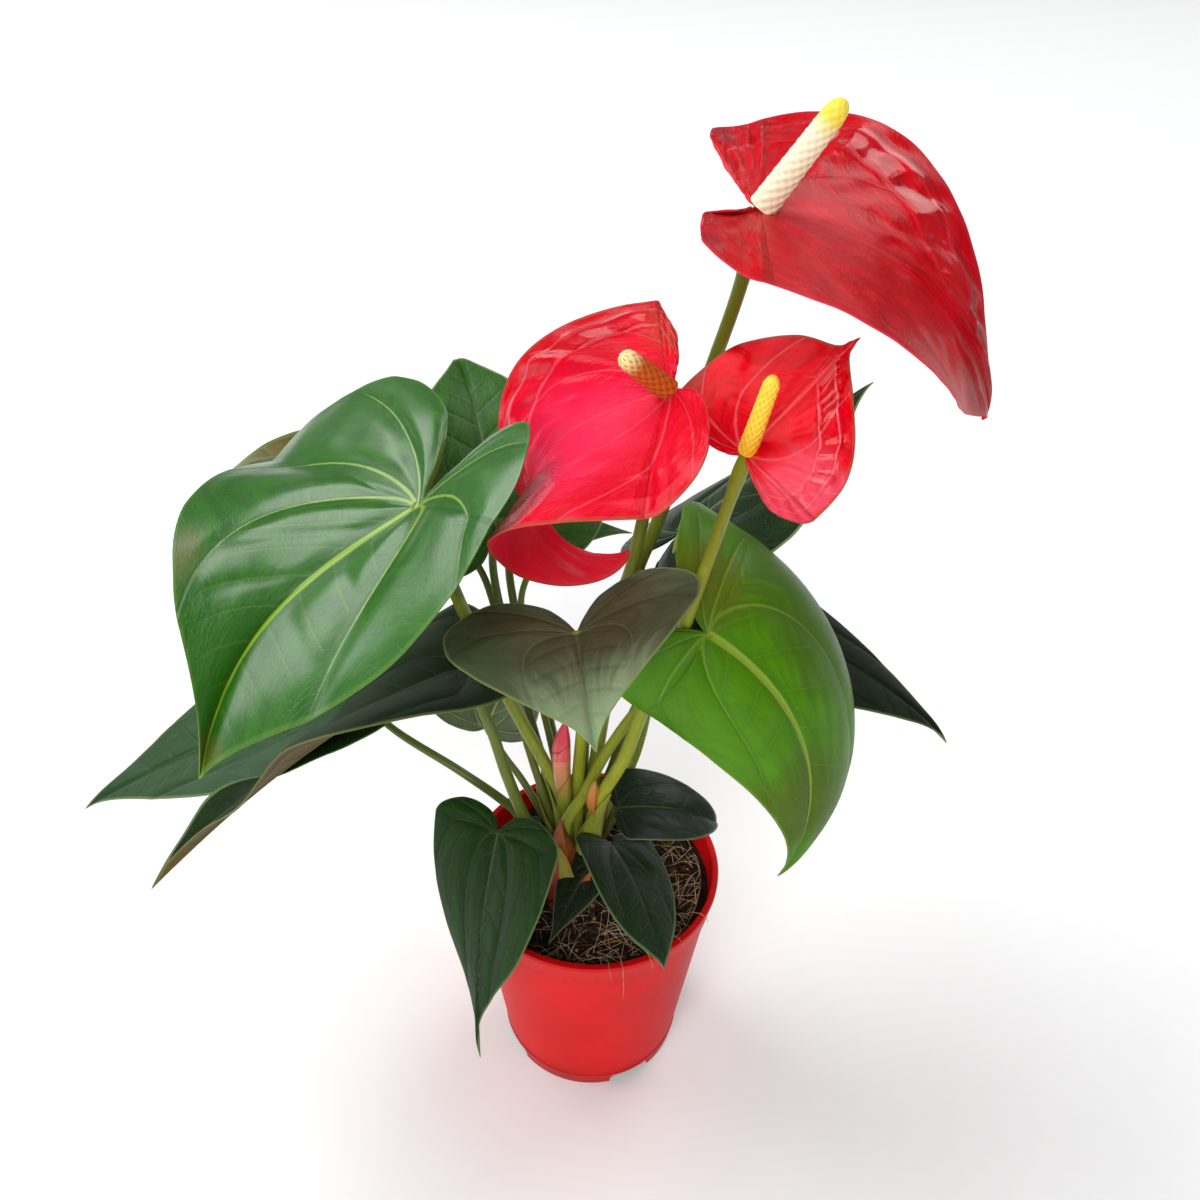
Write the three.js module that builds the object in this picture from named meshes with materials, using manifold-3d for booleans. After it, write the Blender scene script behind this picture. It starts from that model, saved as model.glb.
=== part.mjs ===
// A flowering anthurium in its nursery pot. Millimetres, +Z up. The origin is the middle of the pot's
// underside, on the surface that it stands on. +X is to the right when the plant is seen from its front, -Y.
import * as THREE from "three";
import { mergeVertices } from "three/addons/utils/BufferGeometryUtils.js";
import Module from "manifold-3d";

const wasm = await Module();
wasm.setup();

// ---- driving dimensions ----
const GAP = 0.3; // air between neighbouring pieces
const POT = { height: 118, rimRadius: 60, baseRadius: 44, wall: 1.6, floor: 2, sides: 40 };
const COLLAR = { height: 16, proud: 0.8 }; // the thicker band under the rim
const LIP = { height: 2.6, proud: 1.2 };
const NOTCH = { width: 22, height: 5.5, reach: 12, count: 4, first: -62 }; // drain openings, degrees from +X
const SOIL_TOP = 108;
const SOIL_RELIEF = 1.4;
const SOIL_DROP = 1.5; // how far the soil falls away at the pot's wall
const CROWN = { x: -8, y: 2, foot: 88, top: 128, radius: 9 }; // the short rooted stem that carries every leaf
const LEAF_THICKNESS = 0.9;
const SPATHE_THICKNESS = 1.1;
const RIB = 0.5; // how far the main veins stand proud underneath

// Half of a blade's outline from the tip to the notch at the stalk. Across is a share of the half width.
// Along is a share of the length ahead of the stalk, and of the back lobe behind it.
const HEART_LEAF = [
  [0, 1], [0.055, 0.93], [0.17, 0.82], [0.46, 0.62], [0.8, 0.36],
  [1, 0.06], [0.93, -0.52], [0.6, -1], [0.2, -0.8], [0, -0.08],
];
const BROAD_LEAF = [
  [0, 1], [0.055, 0.93], [0.19, 0.82], [0.52, 0.62], [0.835, 0.36],
  [1, 0.06], [0.93, -0.52], [0.6, -1], [0.2, -0.8], [0, -0.08],
];
const ROUND_SPATHE = [
  [0, 1], [0.05, 0.94], [0.2, 0.83], [0.56, 0.62], [0.88, 0.36],
  [1, 0.06], [0.92, -0.52], [0.6, -1], [0.2, -0.75], [0, -0.08],
];
const BLUNT_SPATHE = [
  [0, 1], [0.05, 0.94], [0.2, 0.83], [0.56, 0.62], [0.87, 0.39],
  [0.98, 0.12], [0.92, -0.4], [0.62, -1], [0.2, -0.75], [0, -0.08],
];
const WINGED_SPATHE = [
  [0, 1], [0.05, 0.94], [0.2, 0.83], [0.56, 0.62], [0.88, 0.36],
  [1, 0.06], [0.9, -0.52], [0.84, -1.1], [0.34, -0.5], [0, -0.08],
];

// Every blade: where its stalk meets it, the way it points (heading turns from +X to +Y, pitch is up), its
// roll, sizes and bends in degrees. droop bends it down along its length, lift raises the back lobes, foldL
// and foldR raise each half from the midrib, tipL and tipR change that towards the tip, arch curls the
// margins down, sway bends it sideways in its own plane and bow shifts the midrib. skew and lobeSkew make one
// side larger.
// stalk is the route from the crown to the blade. Its second point is where the stalk leaves its sheath.
const LARGE = { rays: 14, rings: 4 };
const MEDIUM = { rays: 11, rings: 3 };
const SMALL = { rays: 8, rings: 2 };
const BLADES = {
  left_large: {
    base: [-60, -44, 346], heading: -128, pitch: -28, roll: 18, length: 111, width: 144, lobe: 43,
    droop: 7, lift: 6, foldL: 9, foldR: 9, tipL: -8, tipR: 23, arch: 15, twist: -26, sway: -10,
    skew: 0.4, lobeSkew: 0.1, bow: 22, outline: BROAD_LEAF, wave: 1.5, waves: 2, detail: LARGE,
    colour: 0x2f7a2b,
    stalk: [
      [-10, 4, 122], [-16, 5, 160], [-24, 2, 186], [-34, 0, 214],
      [-42, -5, 241], [-51, -21, 286], [-58, -37, 332],
    ],
    radius: [3.1, 2.2],
  },
  left_low: {
    base: [-116, 45, 187], heading: -173, pitch: -20, roll: 6, length: 155, width: 124, lobe: 43,
    droop: 12, lift: 8, foldL: 8, foldR: 12, tipL: -4, tipR: 3, twist: -7,
    wave: 1.5, waves: 2, detail: LARGE, colour: 0x1f4a2a,
    stalk: [[-14, 4, 120], [-42, 4, 155], [-62, 10, 168], [-97, 29, 178]],
    radius: [2.2, 1.5],
  },
  left_folded: {
    base: [-57, -9, 245], heading: -171, pitch: -2, roll: 12, length: 166, width: 118, lobe: 24,
    droop: 40, lift: 8, foldL: 21, foldR: 9, tipL: 50, tipR: -13, arch: 17, archTip: 31, twist: 8,
    skew: 0.05, lobeSkew: -0.35, bendAt: 0.3, wave: 1, waves: 2, detail: LARGE, colour: 0x27442c,
    stalk: [[-13, -3, 118], [-29, -8, 151], [-38, -14, 190], [-44, -14, 218], [-51, -11, 237]],
    radius: [2.8, 1.8],
  },
  front_bronze: {
    base: [-7, -48, 296], heading: -85, pitch: 13, roll: 11, length: 64, width: 94, lobe: 26,
    droop: 18, lift: 11, foldL: 17, foldR: 14, tipL: 13, tipR: 7, arch: 10, archTip: 8, twist: 3,
    wave: 1, waves: 2, detail: MEDIUM, colour: 0x4c5a48,
    stalk: [[-8, 3, 122], [-8, 5, 160], [-7, 2, 185], [-6, -8, 216], [-8, -38, 284]],
    radius: [3.1, 1.8],
  },
  right_bright: {
    base: [41, -33, 286], heading: -12, pitch: -29, roll: 41, length: 136, width: 119, lobe: 25,
    droop: 58, lift: 10, foldL: 7, foldR: 4, tipR: 2, arch: 86, archTip: 4, sway: -62,
    skew: -0.2, lobeSkew: -0.09, bendAt: 0.94, wave: 1, waves: 2, detail: LARGE, colour: 0x4f9a1c,
    stalk: [
      [-12, -2, 118], [-13, -6, 151], [-4, -6, 173], [3, -4, 191],
      [18, -4, 222], [30, -15, 247], [39, -25, 268],
    ],
    radius: [2.8, 1.8],
  },
  right_dark: {
    base: [48, 38, 245], heading: -13, pitch: -7, roll: -6, length: 130, width: 98, lobe: 28,
    droop: 39, lift: -3, foldL: 2, foldR: 5, arch: 9, twist: 4, sway: 5,
    wave: 1.5, waves: 2, detail: LARGE, colour: 0x1b2f22,
    stalk: [[0, 3, 122], [4, 6, 160], [8, 6, 177], [14, 8, 201], [23, 15, 220], [36, 29, 237]],
    radius: [2.4, 1.6],
  },
  back_right: {
    base: [38, 77, 258], heading: 31, pitch: 26, roll: -22, length: 117, width: 108, lobe: 24,
    lift: 10, foldR: 5, tipL: -13, tipR: -20, arch: 16, skew: 0.15,
    wave: 1, waves: 2, detail: MEDIUM, colour: 0x1f3a26,
    stalk: [
      [0, 9, 122], [9, 21, 142], [17, 29, 153], [22, 31, 173],
      [27, 36, 217], [31, 39, 250], [34, 58, 258],
    ],
    radius: [2.2, 1.5],
  },
  back_middle: {
    base: [-28, 52, 297], heading: 65, pitch: 8, roll: 0, length: 70, width: 58, lobe: 15,
    droop: 50, lift: 8, foldL: 10, foldR: 10, wave: 1, waves: 2, detail: MEDIUM, colour: 0x24502b,
    stalk: [
      [-11, 10, 122], [-16, 18, 158], [-22, 26, 190], [-31, 30, 226],
      [-37, 31, 254], [-38, 38, 274],
    ],
    radius: [2.2, 1.5],
  },
  back_left: {
    base: [-42, 25, 297], heading: 105, pitch: 56, roll: 0, length: 91, width: 86, lobe: 22,
    droop: 66, lift: 8, foldL: 11, foldR: 15, tipL: 3, tipR: 8, sway: 3,
    wave: 1.5, waves: 2, detail: MEDIUM, colour: 0x2c5a30,
    stalk: [
      [-15, 7, 122], [-22, 15, 160], [-28, 20, 183], [-37, 25, 225],
      [-43, 25, 260], [-44, 24, 280],
    ],
    radius: [2.2, 1.5],
  },
  back_young: {
    base: [-23, 32, 281], heading: 10, pitch: 20, roll: 0, length: 38, width: 28, lobe: 8,
    droop: 35, lift: 6, foldL: 12, foldR: 12, detail: SMALL, colour: 0x3a6b34,
    stalk: [[-12, 8, 122], [-17, 14, 160], [-21, 17, 184], [-29, 25, 222], [-33, 29, 255]],
    radius: [1.8, 1.3],
  },
  left_young: {
    base: [-100, 51, 295], heading: 175, pitch: 45, roll: 20, length: 63, width: 65, lobe: 20,
    droop: 80, lift: 8, foldL: 16, foldR: 15, tipL: 7, tipR: 12, detail: SMALL, colour: 0x6a7440,
    stalk: [
      [-15, 5, 119], [-24, 7, 158], [-31, 12, 184], [-39, 22, 214],
      [-45, 33, 245], [-54, 39, 267], [-78, 46, 280],
    ],
    radius: [1.9, 1.3],
  },
  back_low: {
    base: [-53, 42, 166], heading: 66, pitch: 30, roll: 0, length: 66, width: 58, lobe: 6,
    droop: 10, lift: 8, foldL: 12, foldR: 22, detail: SMALL, colour: 0x5c6f58,
    stalk: [[-15, 8, 118], [-24, 8, 142], [-35, 18, 156], [-43, 27, 161]],
    radius: [1.9, 1.4],
  },
  front_low: {
    base: [-41, -32, 173], heading: -107, pitch: -48, roll: 27, length: 100, width: 76, lobe: 11,
    droop: 22, lift: 6, foldL: 6, foldR: 4, tipL: 3, tipR: -11, arch: 4, twist: 8,
    wave: 1, waves: 2, detail: MEDIUM, colour: 0x1f4426,
    stalk: [[-13, -4, 115], [-26, -15, 141], [-36, -25, 164]],
    radius: [2.2, 1.5],
  },
  left_sprout: {
    base: [-26, 9, 125], heading: 183, pitch: 10, roll: 0, length: 28, width: 24, lobe: 3,
    droop: 20, lift: 4, foldL: 8, foldR: 8, detail: SMALL, colour: 0x1d3322,
    stalk: [[-14, 5, 113], [-20, 7, 119]],
    radius: [1.4, 1.1],
  },
  pot_front: {
    base: [9, -15, 147], heading: -61, pitch: -6, roll: -28, length: 60, width: 47, lobe: 8,
    droop: 29, lift: 4, foldL: 3, foldR: 8, tipL: 2, tipR: -9, arch: 5, twist: 7, sway: 3,
    wave: 0.8, waves: 2, detail: MEDIUM, colour: 0x1c4a22,
    stalk: [[-3, -4, 113], [4, -9, 128]],
    radius: [1.7, 1.3],
  },
  pot_right: {
    base: [12, 2, 154], heading: 11, pitch: -2, roll: 0, length: 53, width: 45, lobe: 4,
    droop: 41, lift: 6, foldL: 9, foldR: 10, tipL: 6, tipR: -5, arch: 5, twist: 7, sway: 2,
    wave: 0.8, waves: 2, detail: MEDIUM, colour: 0x1d2b24,
    stalk: [[-2, 3, 114], [5, 4, 134]],
    radius: [1.7, 1.3],
  },
  soil_front: {
    base: [-2, -15, 133], heading: -122, pitch: -29, roll: 5, length: 39, width: 25, lobe: 4,
    droop: 6, foldL: 6, foldR: 6, detail: SMALL, colour: 0x16261b,
    stalk: [[-6, -4, 112], [-4, -9, 122]],
    radius: [1.4, 1.1],
  },
};

// The blooms are blades too, each with a spike of florets standing on its stalk end.
const BLOOM_DETAIL = { rays: 14, rings: 4 };
const BLOOMS = {
  top: {
    base: [49, -1, 432], heading: -5, pitch: -9, roll: 5, length: 121, width: 136, lobe: 19,
    outline: WINGED_SPATHE,
    droop: 68, lift: 12, foldL: 3, foldR: 7, tipL: 22, tipR: -19, arch: 1, archTip: -25, twist: 7,
    sway: 2, skew: -0.05, bendAt: 1.14, pucker: 0.8, puckers: 9, wave: 2, waves: 2.5, colour: 0xa80f1f,
    stalk: [
      [-5, 7, 124], [-1, 12, 160], [4, 12, 210], [15, 15, 278],
      [23, 18, 302], [38, 21, 360], [46, 7, 404],
    ],
    radius: [3.2, 2.2],
    spike: { to: [71, -3, 466], radius: 4.3, colour: 0xf0dc8a },
  },
  middle: {
    base: [22, -28, 382], heading: -194, pitch: -26, roll: -12, length: 120, width: 98, lobe: 12,
    outline: BLUNT_SPATHE,
    droop: 198, lift: 9, foldL: 5, foldR: 37, tipL: 11, tipR: 20, arch: 10, archTip: -13, twist: 10,
    sway: 3, skew: -0.27, lobeSkew: -0.6, bendAt: 2.11, pucker: 0.8, puckers: 9, wave: 1.5, waves: 2.5,
    colour: 0xd3193c,
    stalk: [
      [-7, 7, 124], [-6, 16, 165], [-4, 19, 210], [3, 9, 252],
      [12, 0, 289], [16, -2, 314], [20, -15, 358],
    ],
    radius: [3, 2.1],
    spike: { to: [6, -36, 398], radius: 4, colour: 0xd9b176 },
  },
  small: {
    base: [50, -21, 356], heading: 22, pitch: 43, roll: 11, length: 53, width: 80, lobe: 12,
    outline: ROUND_SPATHE,
    lift: 8, foldL: 14, foldR: 10, arch: 14, pucker: 0.7, puckers: 7, wave: 1, waves: 2, colour: 0xc8152f,
    stalk: [
      [-4, -4, 120], [1, -8, 166], [12, -14, 201], [20, -18, 236],
      [31, -28, 279], [35, -31, 300], [45, -24, 337],
    ],
    radius: [3, 2],
    spike: { to: [55, -30, 389], radius: 3.3, colour: 0xf3c62c },
  },
};
const BUD = { root: [-11, 2, 120], sheathEnd: [-15, -1, 190], tip: [-13, -2, 213], radius: 4.2, split: 0.5 };
const SCALES = { count: 5, first: -130, foot: 111, length: 24, shorter: 0.08, width: 15, lean: 82, fold: 38 };
const FIBRES = { strands: 14, thickness: 1.1, length: 34, reach: 50, clear: 19, curl: 1.6, arch: 2, sunk: 1 };
const COLOURS = { pot: 0xc82f32, soil: 0x2a2019, sheath: 0x8a9a3c, stalk: 0x6d7f2c, bud: 0xc8303f };

// ---- small helpers ----
const radians = (d) => (d * Math.PI) / 180;
const vector = (p) => new THREE.Vector3(...p);
const part = new THREE.Group();

function addMesh(name, geometry, color, roughness = 0.5) {
  const mesh = new THREE.Mesh(geometry, new THREE.MeshStandardMaterial({ color, roughness, metalness: 0 }));
  mesh.name = name;
  part.add(mesh);
}

function geometryOf(points, triangles) {
  const geometry = new THREE.BufferGeometry();
  const places = points.flatMap((p) => [p.x, p.y, p.z]);
  geometry.setAttribute("position", new THREE.Float32BufferAttribute(places, 3));
  geometry.setIndex(triangles.flat());
  return geometry;
}

function solidOf(geometry) {
  const bare = geometry.clone();
  bare.deleteAttribute("normal");
  bare.deleteAttribute("uv");
  const merged = mergeVertices(bare, 1e-4);
  return new wasm.Manifold(
    new wasm.Mesh({
      numProp: 3,
      vertProperties: merged.attributes.position.array,
      triVerts: new Uint32Array(merged.index.array),
    }),
  );
}

function geometryFrom(solid) {
  const mesh = solid.getMesh();
  const geometry = new THREE.BufferGeometry();
  geometry.setAttribute("position", new THREE.BufferAttribute(new Float32Array(mesh.vertProperties), 3));
  geometry.setIndex(new THREE.BufferAttribute(new Uint32Array(mesh.triVerts), 1));
  return geometry;
}

const joined = (solids) => solids.reduce((sum, solid) => sum.add(solid));
const largest = (solid) => solid.decompose().sort((a, b) => b.volume() - a.volume())[0];

function catmull(points, share) {
  const last = points.length - 1;
  const at = Math.min(share * last, last - 1e-9);
  const i = Math.floor(at);
  const f = at - i;
  const knot = (k) => points[Math.min(Math.max(k, 0), last)];
  return [0, 1].map((c) => {
    const [p0, p1, p2, p3] = [knot(i - 1)[c], knot(i)[c], knot(i + 1)[c], knot(i + 2)[c]];
    const [v0, v1] = [(p2 - p0) / 2, (p3 - p1) / 2];
    return (2 * p1 - 2 * p2 + v0 + v1) * f ** 3 + (-3 * p1 + 3 * p2 - 2 * v0 - v1) * f * f + v0 * f + p1;
  });
}

// ---- blades ----
const PLAIN = {
  roll: 0, droop: 0, lift: 0, foldL: 0, foldR: 0, tipL: 0, tipR: 0, arch: 0, archTip: 0, twist: 0, sway: 0,
  skew: 0, lobeSkew: 0, bendAt: 1, bow: 0, wave: 0, waves: 2, pucker: 0, puckers: 0,
};
const SPINE_STEPS = 16;
const LOBE_STEPS = 6;
const LEAST_CURL = 1e-5; // a flat half is drawn as an arc this slight
const PUCKER = { at: 0.8, spread: 0.15 }; // the quilted band inside the margin, as shares of the way out
const RIB_AT = 0.5; // the side ribs' place between the tip and the notch

// The blade's midline as stations: distance along it, place, the direction across and the way it faces.
function spineOf(b) {
  const [heading, pitch, roll] = [b.heading, b.pitch, b.roll].map(radians);
  const along = new THREE.Vector3(
    Math.cos(heading) * Math.cos(pitch), Math.sin(heading) * Math.cos(pitch), Math.sin(pitch),
  );
  const across = new THREE.Vector3(Math.sin(heading), -Math.cos(heading), 0).applyAxisAngle(along, roll);
  const facing = across.clone().cross(along);
  const ahead = [{ y: 0, at: vector(b.base), across, facing }];
  let [t, x, n, at] = [along.clone(), across.clone(), facing.clone(), vector(b.base)];
  for (let i = 0; i < SPINE_STEPS; i++) {
    const share = ((i + 1) / SPINE_STEPS) ** b.bendAt - (i / SPINE_STEPS) ** b.bendAt;
    const bend = radians(b.droop) * share;
    at = at.clone().addScaledVector(t.clone().applyAxisAngle(x, -bend / 2), b.length / SPINE_STEPS);
    [t, n] = [t, n].map((v) => v.clone().applyAxisAngle(x, -bend));
    [t, x] = [t, x].map((v) => v.clone().applyAxisAngle(n, radians(b.sway) / SPINE_STEPS));
    [x, n] = [x, n].map((v) => v.clone().applyAxisAngle(t, radians(b.twist) / SPINE_STEPS));
    ahead.push({ y: ((i + 1) / SPINE_STEPS) * b.length, at, across: x, facing: n });
  }
  const behind = [];
  [t, x, n, at] = [along.clone(), across.clone(), facing.clone(), vector(b.base)];
  const reach = b.lobe * (1 + Math.abs(b.lobeSkew));
  for (let i = 0; i < LOBE_STEPS; i++) {
    const bend = radians(b.lift) / LOBE_STEPS;
    at = at.clone().addScaledVector(t.clone().applyAxisAngle(x, -bend / 2), -reach / LOBE_STEPS);
    [t, n] = [t, n].map((v) => v.clone().applyAxisAngle(x, -bend));
    behind.unshift({ y: (-(i + 1) / LOBE_STEPS) * reach, at, across: x, facing: n });
  }
  return [...behind, ...ahead];
}

// A point of the blade's middle surface: side is -1 or 1, turn runs from the tip (0) to the notch (1) and
// out from the stalk (0) to the margin (1).
function bladePoint(b, spine, side, turn, out) {
  const [shareAcross, shareAlong] = catmull(b.outline, turn);
  const halfWidth = (b.width / 2) * (1 + side * b.skew);
  const x = shareAcross * halfWidth * out;
  const y = (shareAlong >= 0 ? shareAlong * b.length : shareAlong * b.lobe * (1 + side * b.lobeSkew)) * out;
  const ahead = Math.min(Math.max(y / b.length, 0), 1);
  const fold = radians(side < 0 ? b.foldL + b.tipL * ahead : b.foldR + b.tipR * ahead);
  let curl = radians(b.arch + b.archTip * ahead) / halfWidth;
  if (Math.abs(curl) < LEAST_CURL) curl = LEAST_CURL;
  const bowed = b.bow * 4 * ahead * (1 - out);
  const sideways = side * ((Math.sin(fold) - Math.sin(fold - curl * x)) / curl) + bowed;
  const quilted = Math.exp(-(((out - PUCKER.at) / PUCKER.spread) ** 2));
  const height =
    (Math.cos(fold - curl * x) - Math.cos(fold)) / curl +
    b.wave * out * out * Math.sin(2 * Math.PI * b.waves * turn) +
    b.pucker * quilted * Math.sin(2 * Math.PI * b.puckers * turn);
  let k = 1;
  while (k < spine.length - 1 && spine[k].y < y) k++;
  const [from, to] = [spine[k - 1], spine[k]];
  const f = Math.min(Math.max((y - from.y) / (to.y - from.y), 0), 1);
  return from.at.clone().lerp(to.at, f)
    .addScaledVector(from.across.clone().lerp(to.across, f), sideways)
    .addScaledVector(from.facing.clone().lerp(to.facing, f), height);
}

// The blade as a closed thin solid, split into triangles alike on both faces. swell thickens both faces.
function bladeGeometry(spec, outline, thickness, swell = 0) {
  const b = { ...PLAIN, ...spec, outline };
  const spine = spineOf(b);
  const { rays, rings } = b.detail;
  const turns = [];
  for (let k = 0; k < 2 * rays; k++) turns.push(k <= rays ? [1, k / rays] : [-1, (2 * rays - k) / rays]);
  const middle = [bladePoint(b, spine, 1, 0, 0)];
  for (let ring = 1; ring <= rings; ring++) {
    for (const [side, turn] of turns) middle.push(bladePoint(b, spine, side, turn, ring / rings));
  }
  const count = turns.length;
  const index = (ring, k) => (ring === 0 ? 0 : 1 + (ring - 1) * count + (k % count));
  const upper = [];
  for (let k = 0; k < count; k++) {
    upper.push([0, index(1, k + 1), index(1, k)]);
    for (let ring = 1; ring < rings; ring++) {
      const [a, c, d, e] = [index(ring, k), index(ring, k + 1), index(ring + 1, k + 1), index(ring + 1, k)];
      upper.push([a, c, d], [a, d, e]);
    }
  }
  const normals = middle.map(() => new THREE.Vector3());
  for (const [i, j, k] of upper) {
    const n = middle[j].clone().sub(middle[i]).cross(middle[k].clone().sub(middle[i]));
    for (const v of [i, j, k]) normals[v].add(n);
  }
  normals.forEach((n) => n.normalize());
  const half = thickness / 2 + swell;
  const top = middle.map((p, i) => p.clone().addScaledVector(normals[i], half));
  const sideRib = Math.round(rays * RIB_AT);
  const isRib = (k) => [0, sideRib, count - sideRib].includes(k);
  const under = middle.map((p, i) => {
    const ring = i === 0 ? 0 : Math.floor((i - 1) / count) + 1;
    const rib = isRib((i - 1) % count) ? RIB * (1 - ring / rings) : 0;
    return p.clone().addScaledVector(normals[i], -half - rib);
  });
  const n = middle.length;
  const triangles = [...upper, ...upper.map(([a, c, d]) => [a + n, d + n, c + n])];
  for (let k = 0; k < count; k++) {
    const [a, c] = [index(rings, k), index(rings, k + 1)];
    triangles.push([a, c, c + n], [a, c + n, a + n]);
  }
  return geometryOf([...top, ...under], triangles);
}

// ---- stalks ----
// A closed round tube along a curve between two shares of it, with radius as a function of that share.
function tube(curve, from, to, radiusAt, sides, steps) {
  const rings = [];
  let normal = null;
  for (let i = 0; i <= steps; i++) {
    const share = from + ((to - from) * i) / steps;
    const tangent = curve.getTangent(share);
    if (!normal) normal = new THREE.Vector3(1, 0, 0).cross(tangent).normalize();
    normal = normal.clone().addScaledVector(tangent, -normal.dot(tangent)).normalize();
    const binormal = tangent.clone().cross(normal);
    const centre = curve.getPoint(share);
    const ring = [];
    for (let s = 0; s < sides; s++) {
      const angle = (2 * Math.PI * s) / sides;
      const r = radiusAt(share, angle);
      const [u, v] = [r * Math.cos(angle), r * Math.sin(angle)];
      ring.push(centre.clone().addScaledVector(normal, u).addScaledVector(binormal, v));
    }
    rings.push(ring);
  }
  const points = [...rings.flat(), curve.getPoint(from), curve.getPoint(to)];
  const triangles = [];
  const [first, last] = [points.length - 2, points.length - 1];
  for (let s = 0; s < sides; s++) {
    const next = (s + 1) % sides;
    triangles.push([first, next, s], [last, steps * sides + s, steps * sides + next]);
    for (let i = 0; i < steps; i++) {
      const [low, high] = [i * sides, (i + 1) * sides];
      triangles.push([low + s, low + next, high + next], [low + s, high + next, high + s]);
    }
  }
  return geometryOf(points, triangles);
}

const STALK_SIDES = 6;
const STALK_STEP = 18; // the longest straight stretch of a stalk
const SHEATH_SIDES = 5;
const SHEATH_STEPS = 2;
const SHEATH = 1.35; // how much thicker the sheath is at its foot than the stalk in it
const SHEATH_RIM = 1.05;
const COLLAR_SWELL = { rise: 0.25, at: 0.93, spread: 0.06 }; // the knuckle under the blade
const sheaths = [];
const freeStalks = [];

function addStalk(name, spec, ...cutters) {
  const points = [...spec.stalk, spec.base].map(vector);
  const curve = new THREE.CatmullRomCurve3(points, false, "centripetal");
  const [thick, thin] = spec.radius;
  const end = 1 / (points.length - 1);
  const halfGap = GAP / 2 / curve.getLength();
  const sheathRadius = (t) => thick * (SHEATH - (SHEATH - SHEATH_RIM) * (t / end));
  sheaths.push(solidOf(tube(curve, 0, end - halfGap, sheathRadius, SHEATH_SIDES, SHEATH_STEPS)));
  const radiusAt = (t) => {
    const s = (t - end) / (1 - end);
    const { rise, at, spread } = COLLAR_SWELL;
    return thick + (thin - thick) * s + rise * thick * Math.exp(-(((s - at) / spread) ** 2));
  };
  const steps = Math.max(3, Math.ceil(((1 - end) * curve.getLength()) / STALK_STEP));
  const stalkOf = (swell) =>
    solidOf(tube(curve, end + halfGap, 1, (t) => radiusAt(t) + swell, STALK_SIDES, steps));
  freeStalks.push(stalkOf(GAP));
  const stalk = cutters.reduce((rest, cutter) => rest.subtract(cutter), stalkOf(0));
  addMesh(name, geometryFrom(largest(stalk)), COLOURS.stalk, 0.45);
}

const CUT = GAP + 0.15; // a blade is swollen by this much to cut what meets it
const cuttersOf = (spec, outline, thickness) =>
  [CUT, 0].map((swell) => solidOf(bladeGeometry(spec, outline, thickness, swell)));
for (const [name, spec] of Object.entries(BLADES)) {
  const outline = spec.outline ?? HEART_LEAF;
  addMesh("leaf_" + name, bladeGeometry(spec, outline, LEAF_THICKNESS), spec.colour, 0.35);
  addStalk("petiole_" + name, spec, ...cuttersOf(spec, outline, LEAF_THICKNESS));
}

// ---- blooms ----
const FLORET = { rows: 12, around: 10, depth: 0.07 };
const SPIKE = { start: 0.08, dome: 0.86, blunt: 0.3, narrowing: 0.22 }; // it rounds off from dome on
function spikeGeometry(spec, swell) {
  const curve = new THREE.LineCurve3(vector(spec.base), vector(spec.spike.to));
  const dome = (t) => {
    const past = Math.max((t - SPIKE.dome) / (1 - SPIKE.dome), 0);
    return Math.sqrt(Math.max(1 - past ** 2, SPIKE.blunt ** 2));
  };
  const radiusAt = (t, angle) => {
    const row = Math.round(t * FLORET.rows);
    const around = Math.round((angle / (2 * Math.PI)) * FLORET.around);
    const bump = 1 + FLORET.depth * ((row + around) % 2 === 0 ? 1 : -1);
    return spec.spike.radius * (1 - SPIKE.narrowing * t) * dome(t) * bump + swell;
  };
  return tube(curve, SPIKE.start, 1, radiusAt, FLORET.around, FLORET.rows);
}
for (const [name, spec] of Object.entries(BLOOMS)) {
  const bloom = { ...spec, detail: BLOOM_DETAIL };
  const cutters = cuttersOf(bloom, spec.outline, SPATHE_THICKNESS);
  addMesh("spathe_" + name, bladeGeometry(bloom, spec.outline, SPATHE_THICKNESS), spec.colour, 0.25);
  addStalk("peduncle_" + name, bloom, ...cutters, solidOf(spikeGeometry(spec, CUT)));
  const whole = solidOf(spikeGeometry(spec, 0));
  const spike = cutters.reduce((rest, cutter) => rest.subtract(cutter), whole);
  addMesh("spadix_" + name, geometryFrom(largest(spike)), spec.spike.colour, 0.6);
}

// A bloom still rolled in its bud, standing out of its green sheath.
const budPoints = [BUD.root, BUD.sheathEnd, BUD.tip].map(vector);
const budCurve = new THREE.CatmullRomCurve3(budPoints, false, "centripetal");
const BUD_SIDES = 8;
const BUD_FOOT = 0.75; // the sheath's radius at its foot, as a share of the radius at its mouth
const BUD_POINT = 0.06;
const budGap = GAP / 2 / budCurve.getLength();
const budSheathRadius = (t) => BUD.radius * (BUD_FOOT + (1 - BUD_FOOT) * (t / BUD.split));
const budRadius = (t) => BUD.radius * Math.max((1 - t) / (1 - BUD.split), BUD_POINT);
sheaths.push(solidOf(tube(budCurve, 0, BUD.split - budGap, budSheathRadius, BUD_SIDES, 4)));
addMesh("bud", tube(budCurve, BUD.split + budGap, 1, budRadius, BUD_SIDES, 5), COLOURS.bud, 0.35);

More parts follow.
